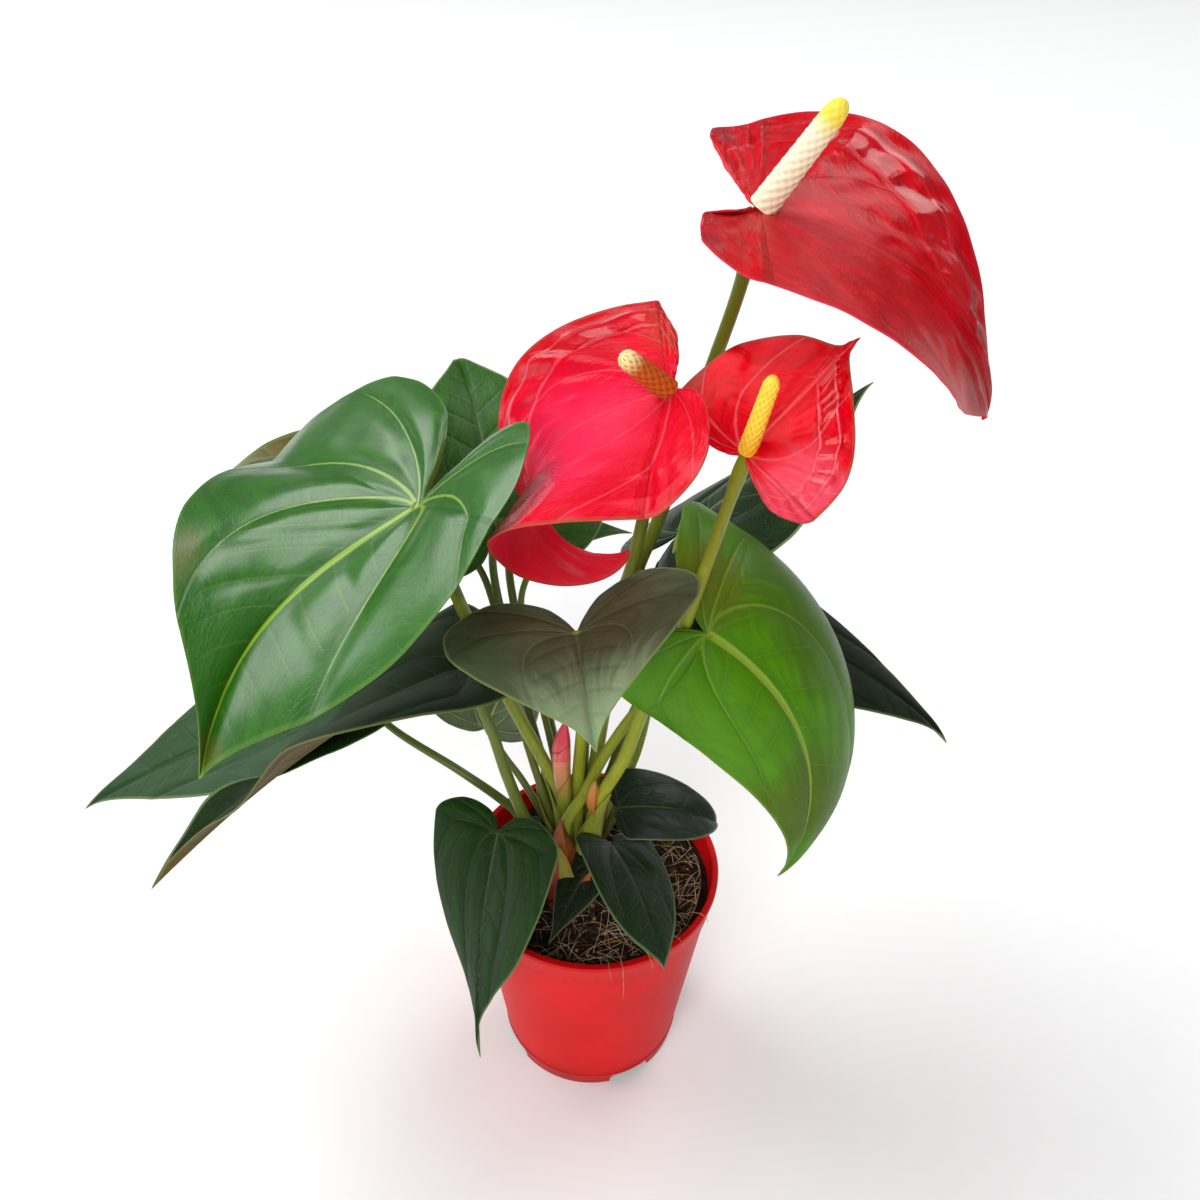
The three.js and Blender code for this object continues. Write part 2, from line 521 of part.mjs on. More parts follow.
// ---- crown ----
const CROWN_SIDES = 12;
const CROWN_CHAMFER = 12;
const CROWN_SHOULDER = { above: 4, drop: 5, share: 0.75 };
const crownProfile = [
  [0, CROWN.foot], [CROWN.radius * CROWN_SHOULDER.share, CROWN.foot],
  [CROWN.radius, CROWN.foot + CROWN_CHAMFER],
  [CROWN.radius, SOIL_TOP + CROWN_SHOULDER.above],
  [CROWN.radius * CROWN_SHOULDER.share, CROWN.top - CROWN_SHOULDER.drop], [0, CROWN.top],
];
function crownCore(swell) {
  const points = crownProfile.map(([r, z]) => new THREE.Vector2(r ? r + swell : 0, z));
  const core = new THREE.LatheGeometry(points, CROWN_SIDES).rotateX(Math.PI / 2);
  return core.translate(CROWN.x, CROWN.y, 0);
}
// The papery scales that clasp the crown's foot: small blades that stand upright and fold round it.
const scales = [];
for (let i = 0; i < SCALES.count; i++) {
  const angle = SCALES.first + (360 * i) / SCALES.count;
  const out = CROWN.radius - 1;
  const [x, y] = [CROWN.x + out * Math.cos(radians(angle)), CROWN.y + out * Math.sin(radians(angle))];
  const scale = {
    base: [x, y, SCALES.foot], heading: angle, pitch: SCALES.lean, width: SCALES.width, lobe: 3,
    length: SCALES.length * (1 - SCALES.shorter * (i % 2)), foldL: SCALES.fold, foldR: SCALES.fold,
    detail: { rays: 5, rings: 2 },
  };
  scales.push(solidOf(bladeGeometry(scale, HEART_LEAF, LEAF_THICKNESS)));
}
const crown = joined([solidOf(crownCore(0)), ...sheaths, ...scales]).subtract(joined(freeStalks));
addMesh("crown", geometryFrom(largest(crown)), COLOURS.sheath, 0.5);

// ---- pot ----
const wallAt = (z) => POT.baseRadius + ((POT.rimRadius - LIP.proud - POT.baseRadius) * z) / POT.height;
const collarFoot = POT.height - COLLAR.height;
const lipFoot = POT.height - LIP.height;
const potProfile = [
  [0, 0], [wallAt(0), 0], [wallAt(collarFoot), collarFoot],
  [wallAt(collarFoot) + COLLAR.proud, collarFoot + COLLAR.proud], [wallAt(lipFoot) + COLLAR.proud, lipFoot],
  [POT.rimRadius, lipFoot], [POT.rimRadius, POT.height], [wallAt(POT.height) - POT.wall, POT.height],
  [wallAt(POT.floor) - POT.wall, POT.floor], [0, POT.floor],
];
const latheOf = (profile, sides) =>
  new THREE.LatheGeometry(profile.map(([r, z]) => new THREE.Vector2(r, z)), sides).rotateX(Math.PI / 2);

function notchGeometry(i) {
  const angle = NOTCH.first + (360 * i) / NOTCH.count;
  return new THREE.BoxGeometry(NOTCH.reach, NOTCH.width, 2 * NOTCH.height)
    .translate(POT.baseRadius, 0, 0)
    .rotateZ(radians(angle));
}
const notches = Array.from({ length: NOTCH.count }, (_, i) => solidOf(notchGeometry(i)));
const pot = solidOf(latheOf(potProfile, POT.sides)).subtract(joined(notches));
addMesh("pot", geometryFrom(pot), COLOURS.pot, 0.4);

// ---- soil ----
const SOIL_FOOT = POT.floor + GAP;
const SOIL_EDGE = SOIL_TOP - SOIL_DROP;
const SOIL_RINGS = [0.78, 0.5]; // rings of points across the top, as shares of its radius
const SOIL_GAP = 1.5 * GAP;
const SOIL_LUMPS = { broad: [0.31, 0.27], fine: [0.53, -0.47], shift: [1.3, 0.4] }; // radians per millimetre
const soilRadius = (z) => wallAt(z) - POT.wall - SOIL_GAP;
function relief(x, y) {
  const broad = Math.sin(SOIL_LUMPS.broad[0] * x + SOIL_LUMPS.shift[0]);
  const across = Math.cos(SOIL_LUMPS.broad[1] * y - SOIL_LUMPS.shift[1]);
  const fine = Math.sin(SOIL_LUMPS.fine[0] * x + SOIL_LUMPS.fine[1] * y);
  return (SOIL_RELIEF * (broad * across + fine)) / 2;
}
function soilGeometry() {
  const top = SOIL_RINGS.map((share) => [soilRadius(SOIL_TOP) * share, SOIL_TOP]);
  const foot = [[0, SOIL_FOOT], [soilRadius(SOIL_FOOT), SOIL_FOOT]];
  const geometry = latheOf([...foot, [soilRadius(SOIL_EDGE), SOIL_EDGE], ...top, [0, SOIL_TOP]], POT.sides);
  const at = geometry.attributes.position;
  for (let i = 0; i < at.count; i++) {
    if (at.getZ(i) > SOIL_EDGE + GAP) at.setZ(i, SOIL_TOP + relief(at.getX(i), at.getY(i)));
  }
  return geometry;
}

// Coir fibres lie curled on the soil with both ends sunk into it.
const FIBRE_SIDES = 3;
const FIBRE_STEPS = 4;
const DRAW_FACTOR = 16807;
const DRAW_RANGE = 2147483647;
let seed = 7;
function draw() {
  seed = (seed * DRAW_FACTOR) % DRAW_RANGE;
  return seed / DRAW_RANGE;
}
function fibreGeometry() {
  const angle = 2 * Math.PI * draw();
  const radius = FIBRES.clear + (FIBRES.reach - FIBRES.clear) * Math.sqrt(draw());
  const centre = [radius * Math.cos(angle), radius * Math.sin(angle)];
  const heading = 2 * Math.PI * draw();
  const curl = FIBRES.curl * (draw() - 0.5);
  const length = FIBRES.length * (0.6 + 0.6 * draw());
  const points = [-0.5, -0.25, 0, 0.25, 0.5].map((share) => {
    const turn = heading + curl * share * 2;
    const reach = share * length;
    const [x, y] = [centre[0] + reach * Math.cos(turn), centre[1] + reach * Math.sin(turn)];
    const inside = Math.min(1, FIBRES.reach / Math.hypot(x, y));
    const rise = (1 - 4 * share * share) * FIBRES.arch - FIBRES.sunk;
    return new THREE.Vector3(x * inside, y * inside, SOIL_TOP + relief(x * inside, y * inside) + rise);
  });
  return tube(new THREE.CatmullRomCurve3(points), 0, 1, () => FIBRES.thickness / 2, FIBRE_SIDES, FIBRE_STEPS);
}
const fibres = Array.from({ length: FIBRES.strands }, () => solidOf(fibreGeometry()));
const hole = joined([solidOf(crownCore(GAP)), solidOf(crownCore(GAP).translate(0, 0, -GAP))]);
const kept = [hole, ...freeStalks, ...sheaths];
for (const name of ["soil_front", "pot_front"]) {
  kept.push(solidOf(bladeGeometry(BLADES[name], HEART_LEAF, LEAF_THICKNESS, CUT)));
}
const soil = joined([solidOf(soilGeometry()), ...fibres]).subtract(joined(kept));
addMesh("soil", geometryFrom(largest(soil)), COLOURS.soil, 0.95);

export default part;
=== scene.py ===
import math
from functools import reduce

import bpy
import numpy as np
from mathutils import Matrix, Vector


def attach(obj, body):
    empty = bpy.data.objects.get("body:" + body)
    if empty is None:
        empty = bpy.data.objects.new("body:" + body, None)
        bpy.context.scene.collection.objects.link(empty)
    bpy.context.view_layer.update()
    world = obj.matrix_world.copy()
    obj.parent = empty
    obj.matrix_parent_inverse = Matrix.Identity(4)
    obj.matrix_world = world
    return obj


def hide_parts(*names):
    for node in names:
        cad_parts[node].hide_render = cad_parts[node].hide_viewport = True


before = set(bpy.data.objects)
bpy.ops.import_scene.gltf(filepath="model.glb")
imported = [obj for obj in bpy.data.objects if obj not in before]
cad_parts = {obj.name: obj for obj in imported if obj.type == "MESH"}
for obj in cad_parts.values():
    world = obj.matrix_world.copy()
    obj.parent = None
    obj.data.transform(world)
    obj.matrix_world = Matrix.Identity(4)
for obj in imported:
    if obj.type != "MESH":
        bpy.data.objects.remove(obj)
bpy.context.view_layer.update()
mm = 0.001
print("stage: frame loaded,", len(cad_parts), "nodes")


# colours are picked as screen values and turned into light values here
def paint(red, green, blue):
    return tuple((c / 255) ** 2.2 for c in (red, green, blue))


def deselectAll():
    bpy.ops.object.select_all(action="DESELECT")


def pick(*pieces):
    deselectAll()
    for piece in pieces:
        piece.select_set(True)
    bpy.context.view_layer.objects.active = pieces[-1]


# the values of a mesh's points or corners, three to a row
def triples(items, key):
    values = np.empty(3 * len(items))
    items.foreach_get(key, values)
    return values.reshape(-1, 3)


def cornerPoints(mesh):
    corners = np.empty(len(mesh.loops), dtype=np.int32)
    mesh.loops.foreach_get("vertex_index", corners)
    return corners


def addMark(mesh, name, values):
    mark = mesh.attributes.new(name, "FLOAT_VECTOR", "CORNER")
    mark.data.foreach_set("vector", np.column_stack(values).ravel())


weldReach = 0.004  # points of a sheet that are nearer than this become one


# a sheet starts as a grid primitive, is bent by a formula and then has its seam and poles welded
def gridSheet(name, columns, rows, shape, closed=False):
    deselectAll()
    bpy.ops.mesh.primitive_grid_add(x_subdivisions=columns, y_subdivisions=rows, size=1)
    piece = bpy.context.object
    piece.name = name
    mesh = piece.data
    mesh.name = name
    grid = triples(mesh.vertices, "co") + 0.5
    points, marks = shape(grid[:, 0], grid[:, 1])
    mesh.vertices.foreach_set("co", (points * mm).ravel())
    corners = cornerPoints(mesh)
    for key, values in marks.items():
        addMark(mesh, key, [value[corners] for value in values])
    mesh.update()
    bpy.ops.object.mode_set(mode="EDIT")
    bpy.ops.mesh.select_all(action="SELECT")
    bpy.ops.mesh.remove_doubles(threshold=weldReach * mm)
    if closed:
        bpy.ops.mesh.normals_make_consistent(inside=False)
    bpy.ops.object.mode_set(mode="OBJECT")
    return piece


def applied(piece, kind, **settings):
    pick(piece)
    modifier = piece.modifiers.new(kind.title(), kind)
    for key, value in settings.items():
        setattr(modifier, key, value)
    bpy.ops.object.modifier_apply(modifier=modifier.name)


def smooth(piece, degrees=50):
    pick(piece)
    bpy.ops.object.shade_smooth_by_angle(angle=math.radians(degrees))


def joined(pieces, name):
    pick(*pieces)
    bpy.ops.object.join()
    piece = bpy.context.object
    piece.name = name
    piece.data.name = name
    return piece


def dress(piece, finishes):
    piece.data.materials.clear()
    for finish in finishes:
        piece.data.materials.append(finish)


def settle(piece, slot, *nodes, finishes=None):
    if finishes:
        dress(piece, finishes)
    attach(piece, "root")
    if nodes:
        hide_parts(*nodes)


hillForm = dict(cells=64, shiftX=17.3, shiftY=9.7)


# soft random hills over a plane, between -1 and 1, with their size in millimetres
def hills(x, y, size, seed):
    count = hillForm["cells"]
    lattice = np.random.default_rng(seed).random((count, count))
    px, py = np.asarray(x) / size + hillForm["shiftX"], np.asarray(y) / size + hillForm["shiftY"]
    ix, iy = np.floor(px).astype(int), np.floor(py).astype(int)
    fx, fy = px - ix, py - iy
    fx, fy = fx * fx * (3 - 2 * fx), fy * fy * (3 - 2 * fy)

    def row(j):
        return lattice[ix % count, j % count] * (1 - fx) + lattice[(ix + 1) % count, j % count] * fx

    return (row(iy) * (1 - fy) + row(iy + 1) * fy) * 2 - 1


# a soft step from 0 at low to 1 at high
def eased(value, low, high):
    share = np.clip((value - low) / (high - low), 0, 1)
    return share * share * (3 - 2 * share)


# a value inside a material, which can be reckoned with like a number
class Link:
    def __init__(self, finish, socket):
        self.finish = finish
        self.socket = socket

    def __add__(self, other):
        return self.finish.math("ADD", self, other)

    def __radd__(self, other):
        return self.finish.math("ADD", other, self)

    def __sub__(self, other):
        return self.finish.math("SUBTRACT", self, other)

    def __rsub__(self, other):
        return self.finish.math("SUBTRACT", other, self)

    def __mul__(self, other):
        return self.finish.math("MULTIPLY", self, other)

    def __rmul__(self, other):
        return self.finish.math("MULTIPLY", other, self)

    def __truediv__(self, other):
        return self.finish.math("DIVIDE", self, other)

    def __pow__(self, other):
        return self.finish.math("POWER", self, other)

    def __abs__(self):
        return self.finish.math("ABSOLUTE", self)


class Finish:
    def __init__(self, name):
        self.material = bpy.data.materials.new(name)
        self.material.use_nodes = True
        self.tree = self.material.node_tree
        self.tree.nodes.clear()

    def node(self, kind, settings, sockets, out=0):
        made = self.tree.nodes.new("ShaderNode" + kind)
        for key, value in settings.items():
            setattr(made, key, value)
        for key, value in sockets.items():
            socket = made.inputs[key]
            if isinstance(value, Link):
                self.tree.links.new(value.socket, socket)
            elif socket.type == "RGBA":
                socket.default_value = (*value[:3], 1)
            else:
                socket.default_value = value
        return Link(self, made.outputs[out])

    def math(self, operation, *values):
        return self.node("Math", {"operation": operation}, dict(enumerate(values)))

    def ease(self, value, low, high):
        return self.node(
            "MapRange", {"interpolation_type": "SMOOTHSTEP"}, {0: value, 1: low, 2: high, 3: 0.0, 4: 1.0}
        )

    def most(self, *values):
        return reduce(lambda one, other: self.math("MAXIMUM", one, other), values)

    def least(self, *values):
        return reduce(lambda one, other: self.math("MINIMUM", one, other), values)

    def mix(self, share, first, second):
        return self.node("Mix", {"data_type": "RGBA"}, {0: share, 6: first, 7: second}, out=2)

    def noise(self, place, scale, detail=3.0, rough=0.5, warp=0.0):
        values = {"Vector": place, "Scale": scale, "Detail": detail, "Roughness": rough, "Distortion": warp}
        return self.node("TexNoise", {}, values)

    # how far a place is from the nearest cell's middle, or from its edge
    def cells(self, place, scale, feature="F1"):
        values = {"Vector": place, "Scale": scale}
        return self.node("TexVoronoi", {"feature": feature}, values, out="Distance")

    def mark(self, name):
        return self.node("Attribute", {"attribute_name": name}, {}, out="Vector")

    def place(self):
        return self.node("TexCoord", {}, {}, out="Object")

    def stretched(self, place, *scale):
        return self.node("VectorMath", {"operation": "MULTIPLY"}, {0: place, 1: scale})

    def split(self, place):
        first = self.node("SeparateXYZ", {}, {0: place})
        return [Link(self, socket) for socket in first.socket.node.outputs]

    def together(self, *values):
        return self.node("CombineXYZ", {}, dict(enumerate(values)))

    # the height of the relief is in millimetres
    def surface(self, color, roughness, height, **sockets):
        bump = self.node("Bump", {}, {"Strength": 1.0, "Distance": mm, "Height": height})
        values = {"Base Color": color, "Roughness": roughness, "Normal": bump}
        values.update({key.replace("_", " "): value for key, value in sockets.items()})
        shader = self.node("BsdfPrincipled", {}, values)
        end = self.tree.nodes.new("ShaderNodeOutputMaterial")
        self.tree.links.new(shader.socket, end.inputs["Surface"])
        return self.material


# a pale floor under three large soft lamps, with their places and sizes in metres
stage = dict(
    floorSize=12.0, floorTone=0.94, floorShade=0.985, floorGrain=40.0, floorRelief=0.02,
    roomTone=(0.96, 0.98, 1.0), roomStrength=0.16,
    softboxes=[
        dict(name="window", towards=(-0.6, 0.25, 0.72), away=5.4, size=4.2, watts=245),
        dict(name="front", towards=(-0.2, -0.8, 0.56), away=5.9, size=4.0, watts=262),
        dict(name="skylight", towards=(0.5, 0.6, 0.74), away=5.8, size=3.2, watts=110),
    ],
    middle=(-0.02, 0, 0.24),
)


def makeStage():
    deselectAll()
    bpy.ops.mesh.primitive_plane_add(size=stage["floorSize"], location=(0, 0, 0))
    floor = bpy.context.object
    floor.name = "floor"
    finish = Finish("paleFloor")
    grain = finish.noise(finish.place(), stage["floorGrain"])
    tone = stage["floorTone"]
    color = finish.mix(grain, (tone * stage["floorShade"],) * 3, (tone,) * 3)
    dress(floor, [finish.surface(color, 0.75, stage["floorRelief"] * grain, Specular_IOR_Level=0.15)])
    world = bpy.data.worlds.new("room")
    bpy.context.scene.world = world
    world.use_nodes = True
    background = world.node_tree.nodes["Background"]
    background.inputs["Color"].default_value = (*stage["roomTone"], 1)
    background.inputs["Strength"].default_value = stage["roomStrength"]
    for box in stage["softboxes"]:
        towards = Vector(box["towards"]).normalized()
        bpy.ops.object.light_add(type="AREA", location=Vector(stage["middle"]) + towards * box["away"])
        lamp = bpy.context.object
        lamp.name = box["name"]
        lamp.data.energy = box["watts"]
        lamp.data.size = box["size"]
        lamp.rotation_euler = (-towards).to_track_quat("-Z", "Y").to_euler()
    bpy.context.scene.view_settings.view_transform = "Standard"


# where the photo was taken from in millimetres, how far it looks down and how far it leans in degrees
view = dict(at=(0.8, -366.3, 551.0), down=36.9, lean=1.1, lens=34.5, sensor=36, nearest=10)


def makeCamera():
    bpy.ops.object.camera_add()
    camera = bpy.context.object
    camera.name = "viewpoint"
    down, lean = math.radians(view["down"]), math.radians(view["lean"])
    ahead = Vector((0, math.cos(down), -math.sin(down)))
    over = Vector((0, math.sin(down), math.cos(down)))
    right = Vector((1, 0, 0)) * math.cos(lean) + over * math.sin(lean)
    top = over * math.cos(lean) - Vector((1, 0, 0)) * math.sin(lean)
    turn = Matrix((right, top, -ahead)).transposed()
    camera.matrix_world = Matrix.Translation(Vector(view["at"]) * mm) @ turn.to_4x4()
    camera.data.sensor_width = view["sensor"]
    camera.data.lens = view["lens"]
    camera.data.clip_start = view["nearest"] * mm
    bpy.context.scene.camera = camera


makeStage()
makeCamera()
print("stage: floor, light and camera")

# half outlines from the tip round to the notch: across as a share of half the width, and along as a
# share of the length ahead of the base or of the lobe behind it
leafLobe = [[0.6, -1], [0.2, -0.8], [0, -0.08]]
heartLeaf = [
    [0, 1], [0.055, 0.93], [0.17, 0.82], [0.46, 0.62], [0.8, 0.36], [1, 0.06], [0.93, -0.52], *leafLobe,
]
broadLeaf = [
    [0, 1], [0.055, 0.93], [0.19, 0.82], [0.52, 0.62], [0.835, 0.36], [1, 0.06], [0.93, -0.52], *leafLobe,
]
dripLeaf = [
    [0, 1], [0.026, 0.92], [0.055, 0.82], [0.3, 0.67], [0.72, 0.45], [1, 0.1], [0.94, -0.52], *leafLobe,
]
ovalLeaf = [
    [0, 1], [0.07, 0.95], [0.26, 0.86], [0.62, 0.68], [0.89, 0.42], [1, 0.08], [0.94, -0.5], *leafLobe,
]
roundLeaf = [
    [0, 1], [0.17, 0.97], [0.42, 0.87], [0.71, 0.66], [0.92, 0.38], [1, 0.06], [0.93, -0.52], *leafLobe,
]
lanceScale = [[0, 1], [0.3, 0.84], [0.66, 0.6], [0.93, 0.34], [1, 0.1], [0.84, -0.4], [0.5, -0.9], [0, -1]]
bluntSpathe = [
    [0, 1], [0.09, 0.96], [0.27, 0.845], [0.56, 0.62], [0.87, 0.39], [0.98, 0.12], [0.92, -0.4],
    [0.62, -1], [0.2, -0.75], [0, -0.08],
]
# a blade may have its own outline on the right, seen from its base towards its tip
wingedSpathe = [
    [0, 1], [0.05, 0.94], [0.2, 0.83], [0.56, 0.62], [0.88, 0.36], [0.99, 0.08], [0.93, -0.42],
    [0.68, -1.06], [0.3, -0.66], [0, -0.08],
]
wingedRight = [
    [0, 1], [0.07, 0.96], [0.26, 0.87], [0.64, 0.66], [0.97, 0.38], [1.03, 0.1], [0.88, -0.4],
    [0.5, -1.22], [0.2, -0.44], [0, -0.08],
]
smallSpathe = [
    [0, 1], [0.03, 0.94], [0.1, 0.87], [0.5, 0.74], [0.86, 0.44], [0.93, 0.1], [0.84, -0.4],
    [0.52, -0.72], [0.16, -0.46], [0, -0.08],
]
smallRight = [
    [0, 1], [0.03, 0.94], [0.1, 0.85], [0.46, 0.67], [0.88, 0.4], [1.02, 0.12], [0.96, -0.3],
    [0.64, -0.66], [0.22, -0.36], [0, -0.08],
]
roundLobe = [
    [0, 1], [0.05, 0.94], [0.2, 0.83], [0.57, 0.64], [0.92, 0.45], [0.98, 0.21], [0.84, -0.25],
    [0.5, -1.2], [0.2, -0.9], [0, -0.08],
]

# what a blade's own entry leaves out, in millimetres and degrees: a blade droops along its midrib, lifts
# its lobes and folds both sides up, by more or less towards its tip, the sides arch down again, skew
# makes the right side wider, bendAt above 1 keeps the droop near the tip, and bow bends it to the right
plainBlade = dict(
    roll=0, droop=0, lift=0, foldL=0, foldR=0, tipL=0, tipR=0, arch=0, archTip=0, twist=0, sway=0,
    skew=0, lobeSkew=0, bendAt=1, bow=0, wave=0, waves=2, pucker=0, puckers=0, quilt=0, lateral=15,
    ridged=1, outline=heartLeaf, rightOutline=None, untwist=0, tuck=0, rear=0,
)
# where along a blade, as a share of its length, one side flattens, tucks under or stands up
foldPlaces = dict(untwist=(0.34, 0.64), tuck=(0.52, 0.16), rear=(0.6, 0.78))
# where the main veins leave the base and where they meet the margin, as turns from tip (0) to notch (1)
mainVeins = [(0.62, 0.3), (0.75, 0.52), (0.88, 0.72), (0.97, 0.88)]
veinBend = 0.8
lateralRise = (0.62, 0.0035)  # how steeply a side vein climbs as it leaves the midrib
lateralShift, lateralWidth = 0.25, 0.85  # left and right side veins alternate


def turned(v, axis, angle):
    kept = axis * (axis @ v) * (1 - math.cos(angle))
    return v * math.cos(angle) + np.cross(axis, v) * math.sin(angle) + kept


# places along the midrib from behind the base to the tip, with the ways across and up at each
def spineOf(b, aheadSteps=64, behindSteps=24):
    heading, pitch, roll = (math.radians(b[key]) for key in ("heading", "pitch", "roll"))
    flat = math.cos(pitch)
    along = np.array([math.cos(heading) * flat, math.sin(heading) * flat, math.sin(pitch)])
    across = turned(np.array([math.sin(heading), -math.cos(heading), 0.0]), along, roll)
    facing = np.cross(across, along)
    start = np.array(b["base"], dtype=float)
    ahead = [(0.0, start, across, facing)]
    t, x, n, at = along, across, facing, start
    sway, twist = math.radians(b["sway"]) / aheadSteps, math.radians(b["twist"]) / aheadSteps
    for i in range(aheadSteps):
        bent = ((i + 1) / aheadSteps) ** b["bendAt"] - (i / aheadSteps) ** b["bendAt"]
        bend = math.radians(b["droop"]) * bent
        at = at + turned(t, x, -bend / 2) * b["length"] / aheadSteps
        t, n = turned(t, x, -bend), turned(n, x, -bend)
        t, x = turned(t, n, sway), turned(x, n, sway)
        x, n = turned(x, t, twist), turned(n, t, twist)
        ahead.append(((i + 1) / aheadSteps * b["length"], at, x, n))
    behind = []
    t, x, n, at = along, across, facing, start
    reach = b["lobe"] * (1 + abs(b["lobeSkew"]))
    for i in range(behindSteps):
        bend = math.radians(b["lift"]) / behindSteps
        at = at - turned(t, x, -bend / 2) * reach / behindSteps
        t, n = turned(t, x, -bend), turned(n, x, -bend)
        behind.insert(0, (-(i + 1) / behindSteps * reach, at, x, n))
    return [np.array(column) for column in zip(*behind, *ahead)]


# a smooth curve through an outline's points
def outlineAt(knots, turn):
    knots = np.array(knots, dtype=float)
    last = len(knots) - 1
    at = np.clip(turn * last, 0, last - 1e-9)
    i = at.astype(int)
    f = (at - i)[:, None]
    p0, p1, p2, p3 = (knots[np.clip(i + k, 0, last)] for k in (-1, 0, 1, 2))
    v0, v1 = (p2 - p0) / 2, (p3 - p1) / 2
    return (2 * p1 - 2 * p2 + v0 + v1) * f**3 + (3 * p2 - 3 * p1 - 2 * v0 - v1) * f**2 + v0 * f + p1


def flatPlace(b, side, turn, out):
    share = outlineAt(b["outline"], turn)
    if b["rightOutline"]:
        share = np.where(side[:, None] > 0, outlineAt(b["rightOutline"], turn), share)
    x = share[:, 0] * b["width"] / 2 * (1 + side * b["skew"]) * out
    lobe = b["lobe"] * (1 + side * b["lobeSkew"])
    return x, np.where(share[:, 1] >= 0, share[:, 1] * b["length"], share[:, 1] * lobe) * out


# how far a place on the blade is from the nearest main vein or side vein
def veinReach(b, side, turn, out, x, y, spread):
    near = np.where(y > 0, x, np.hypot(x, y))
    for start, end in mainVeins:
        near = np.minimum(near, np.abs(turn - start - (end - start) * out**veinBend) * spread)
    first = mainVeins[0]
    inner = eased(first[0] + (first[1] - first[0]) * out**veinBend - turn, 0.0, 0.04)
    rise = y - lateralRise[0] * x - lateralRise[1] * x * x
    step = np.abs((rise / b["lateral"] + lateralShift * side + lateralShift) % 1 - 0.5)
    lateral = (0.5 - step) * b["lateral"] * lateralWidth
    return near, np.where(inner > 0.5, lateral, 99.0)


def bladeShape(b, relief, probe=0.004):
    y0, at, across, facing = spineOf(b)

    # a turn goes along the outline of either side, and out goes from the base to the margin
    def shape(u, out):
        side = np.where(u <= 0.5, 1.0, -1.0)
        turn = np.where(u <= 0.5, 2 * u, 2 - 2 * u)
        x, y = flatPlace(b, side, turn, out)
        after, before = np.clip(turn + probe, 0, 1), np.clip(turn - probe, 0, 1)
        nextX, nextY = flatPlace(b, side, after, out)
        lastX, lastY = flatPlace(b, side, before, out)
        spread = np.hypot(nextX - lastX, nextY - lastY) / (after - before)
        ahead = np.clip(y / b["length"], 0, 1)
        tuckAt, tuckLong = foldPlaces["tuck"]
        foldL = b["foldL"] + b["tipL"] * ahead - b["untwist"] * eased(ahead, *foldPlaces["untwist"])
        foldR = b["foldR"] + b["tipR"] * ahead - b["tuck"] * np.exp(-(((ahead - tuckAt) / tuckLong) ** 2))
        foldR = foldR + b["rear"] * eased(ahead, *foldPlaces["rear"])
        fold = np.radians(np.where(side < 0, foldL, foldR))
        curl = np.radians(b["arch"] + b["archTip"] * ahead) / (b["width"] / 2 * (1 + side * b["skew"]))
        curl = np.where(np.abs(curl) < 1e-5, 1e-5, curl)
        sideways = side * (np.sin(fold) - np.sin(fold - curl * x)) / curl + b["bow"] * 4 * ahead * (1 - out)
        height = (np.cos(fold - curl * x) - np.cos(fold)) / curl
        height = height + b["wave"] * out**2 * np.sin(2 * np.pi * b["waves"] * turn)
        height = height + relief(b, side, turn, out, x, y, spread)
        point = np.zeros((len(u), 3))
        for k in range(3):
            point[:, k] = np.interp(y, y0, at[:, k])
            point[:, k] += np.interp(y, y0, across[:, k]) * sideways
            point[:, k] += np.interp(y, y0, facing[:, k]) * height
        marks = {"flat": (side * x / 100, y / 100, spread / 100), "polar": (turn, out, side)}
        return point, marks

    return shape


quiltForm = dict(mainGroove=6.5, sideGroove=3.2, sideDepth=0.45, calm=7, broad=0.4, fine=0.06)


# the blade bulges between its veins
def leafRelief(b, side, turn, out, x, y, spread):
    form = quiltForm
    near, lateral = veinReach(b, side, turn, out, x, y, spread)
    panel = 1 - np.exp(-((near / form["mainGroove"]) ** 2))
    bulge = panel * (1 - form["sideDepth"] * np.exp(-((lateral / form["sideGroove"]) ** 2)))
    loose = hills(side * x, y, 19, 3) * form["broad"] + hills(side * x, y, 9, 4) * form["fine"]
    return b["quilt"] * (bulge * (1 - out**5) + loose * eased(near, 0, form["calm"]))


marginForm = dict(thinFrom=0.86, thinBy=0.5)


# a blade with its upper and lower finish, thinner towards the margin
def makeBlade(name, blade, columns, rows, thickness, relief, finishes):
    piece = gridSheet(name, columns, rows, bladeShape({**plainBlade, **blade}, relief))
    mesh = piece.data
    thin = piece.vertex_groups.new(name="thin")
    outs = np.ones(len(mesh.vertices))
    outs[cornerPoints(mesh)] = triples(mesh.attributes["polar"].data, "vector")[:, 1]
    outs = outs.round(3)
    for share in np.unique(outs):
        full = 1 - marginForm["thinBy"] * eased(share, marginForm["thinFrom"], 1.0)
        thin.add(np.nonzero(outs == share)[0].tolist(), float(full), "REPLACE")
    dress(piece, finishes)
    applied(
        piece, "SOLIDIFY", thickness=thickness * mm, offset=0, vertex_group="thin",
        material_offset=1, material_offset_rim=1,
    )
    smooth(piece, 55)
    return piece


# how far a place is from the nearest main vein, which wanders a little
def besideMains(f, turn, out, spread, wander):
    paths = [start + (end - start) * out**veinBend for start, end in mainVeins]
    return f.least(*[abs(turn - path) * spread + wander * 0.6 for path in paths])


# round patches of another colour with a ragged edge: real stains, and the painted sheen and painted shade
# that some looks list
def tinted(f, color, tints, across, along, cloud, ragged, core):
    for tint in tints:
        aroundX, aroundY = across - tint["at"][0], along - tint["at"][1]
        reach = f.math("SQRT", aroundX * aroundX + aroundY * aroundY)
        reach = reach + (cloud - 0.5) * tint["size"] * ragged
        spot = f.ease(reach, tint["size"], tint["size"] * core) * tint["share"]
        color = f.mix(spot, color, paint(*tint["color"]))
    return color
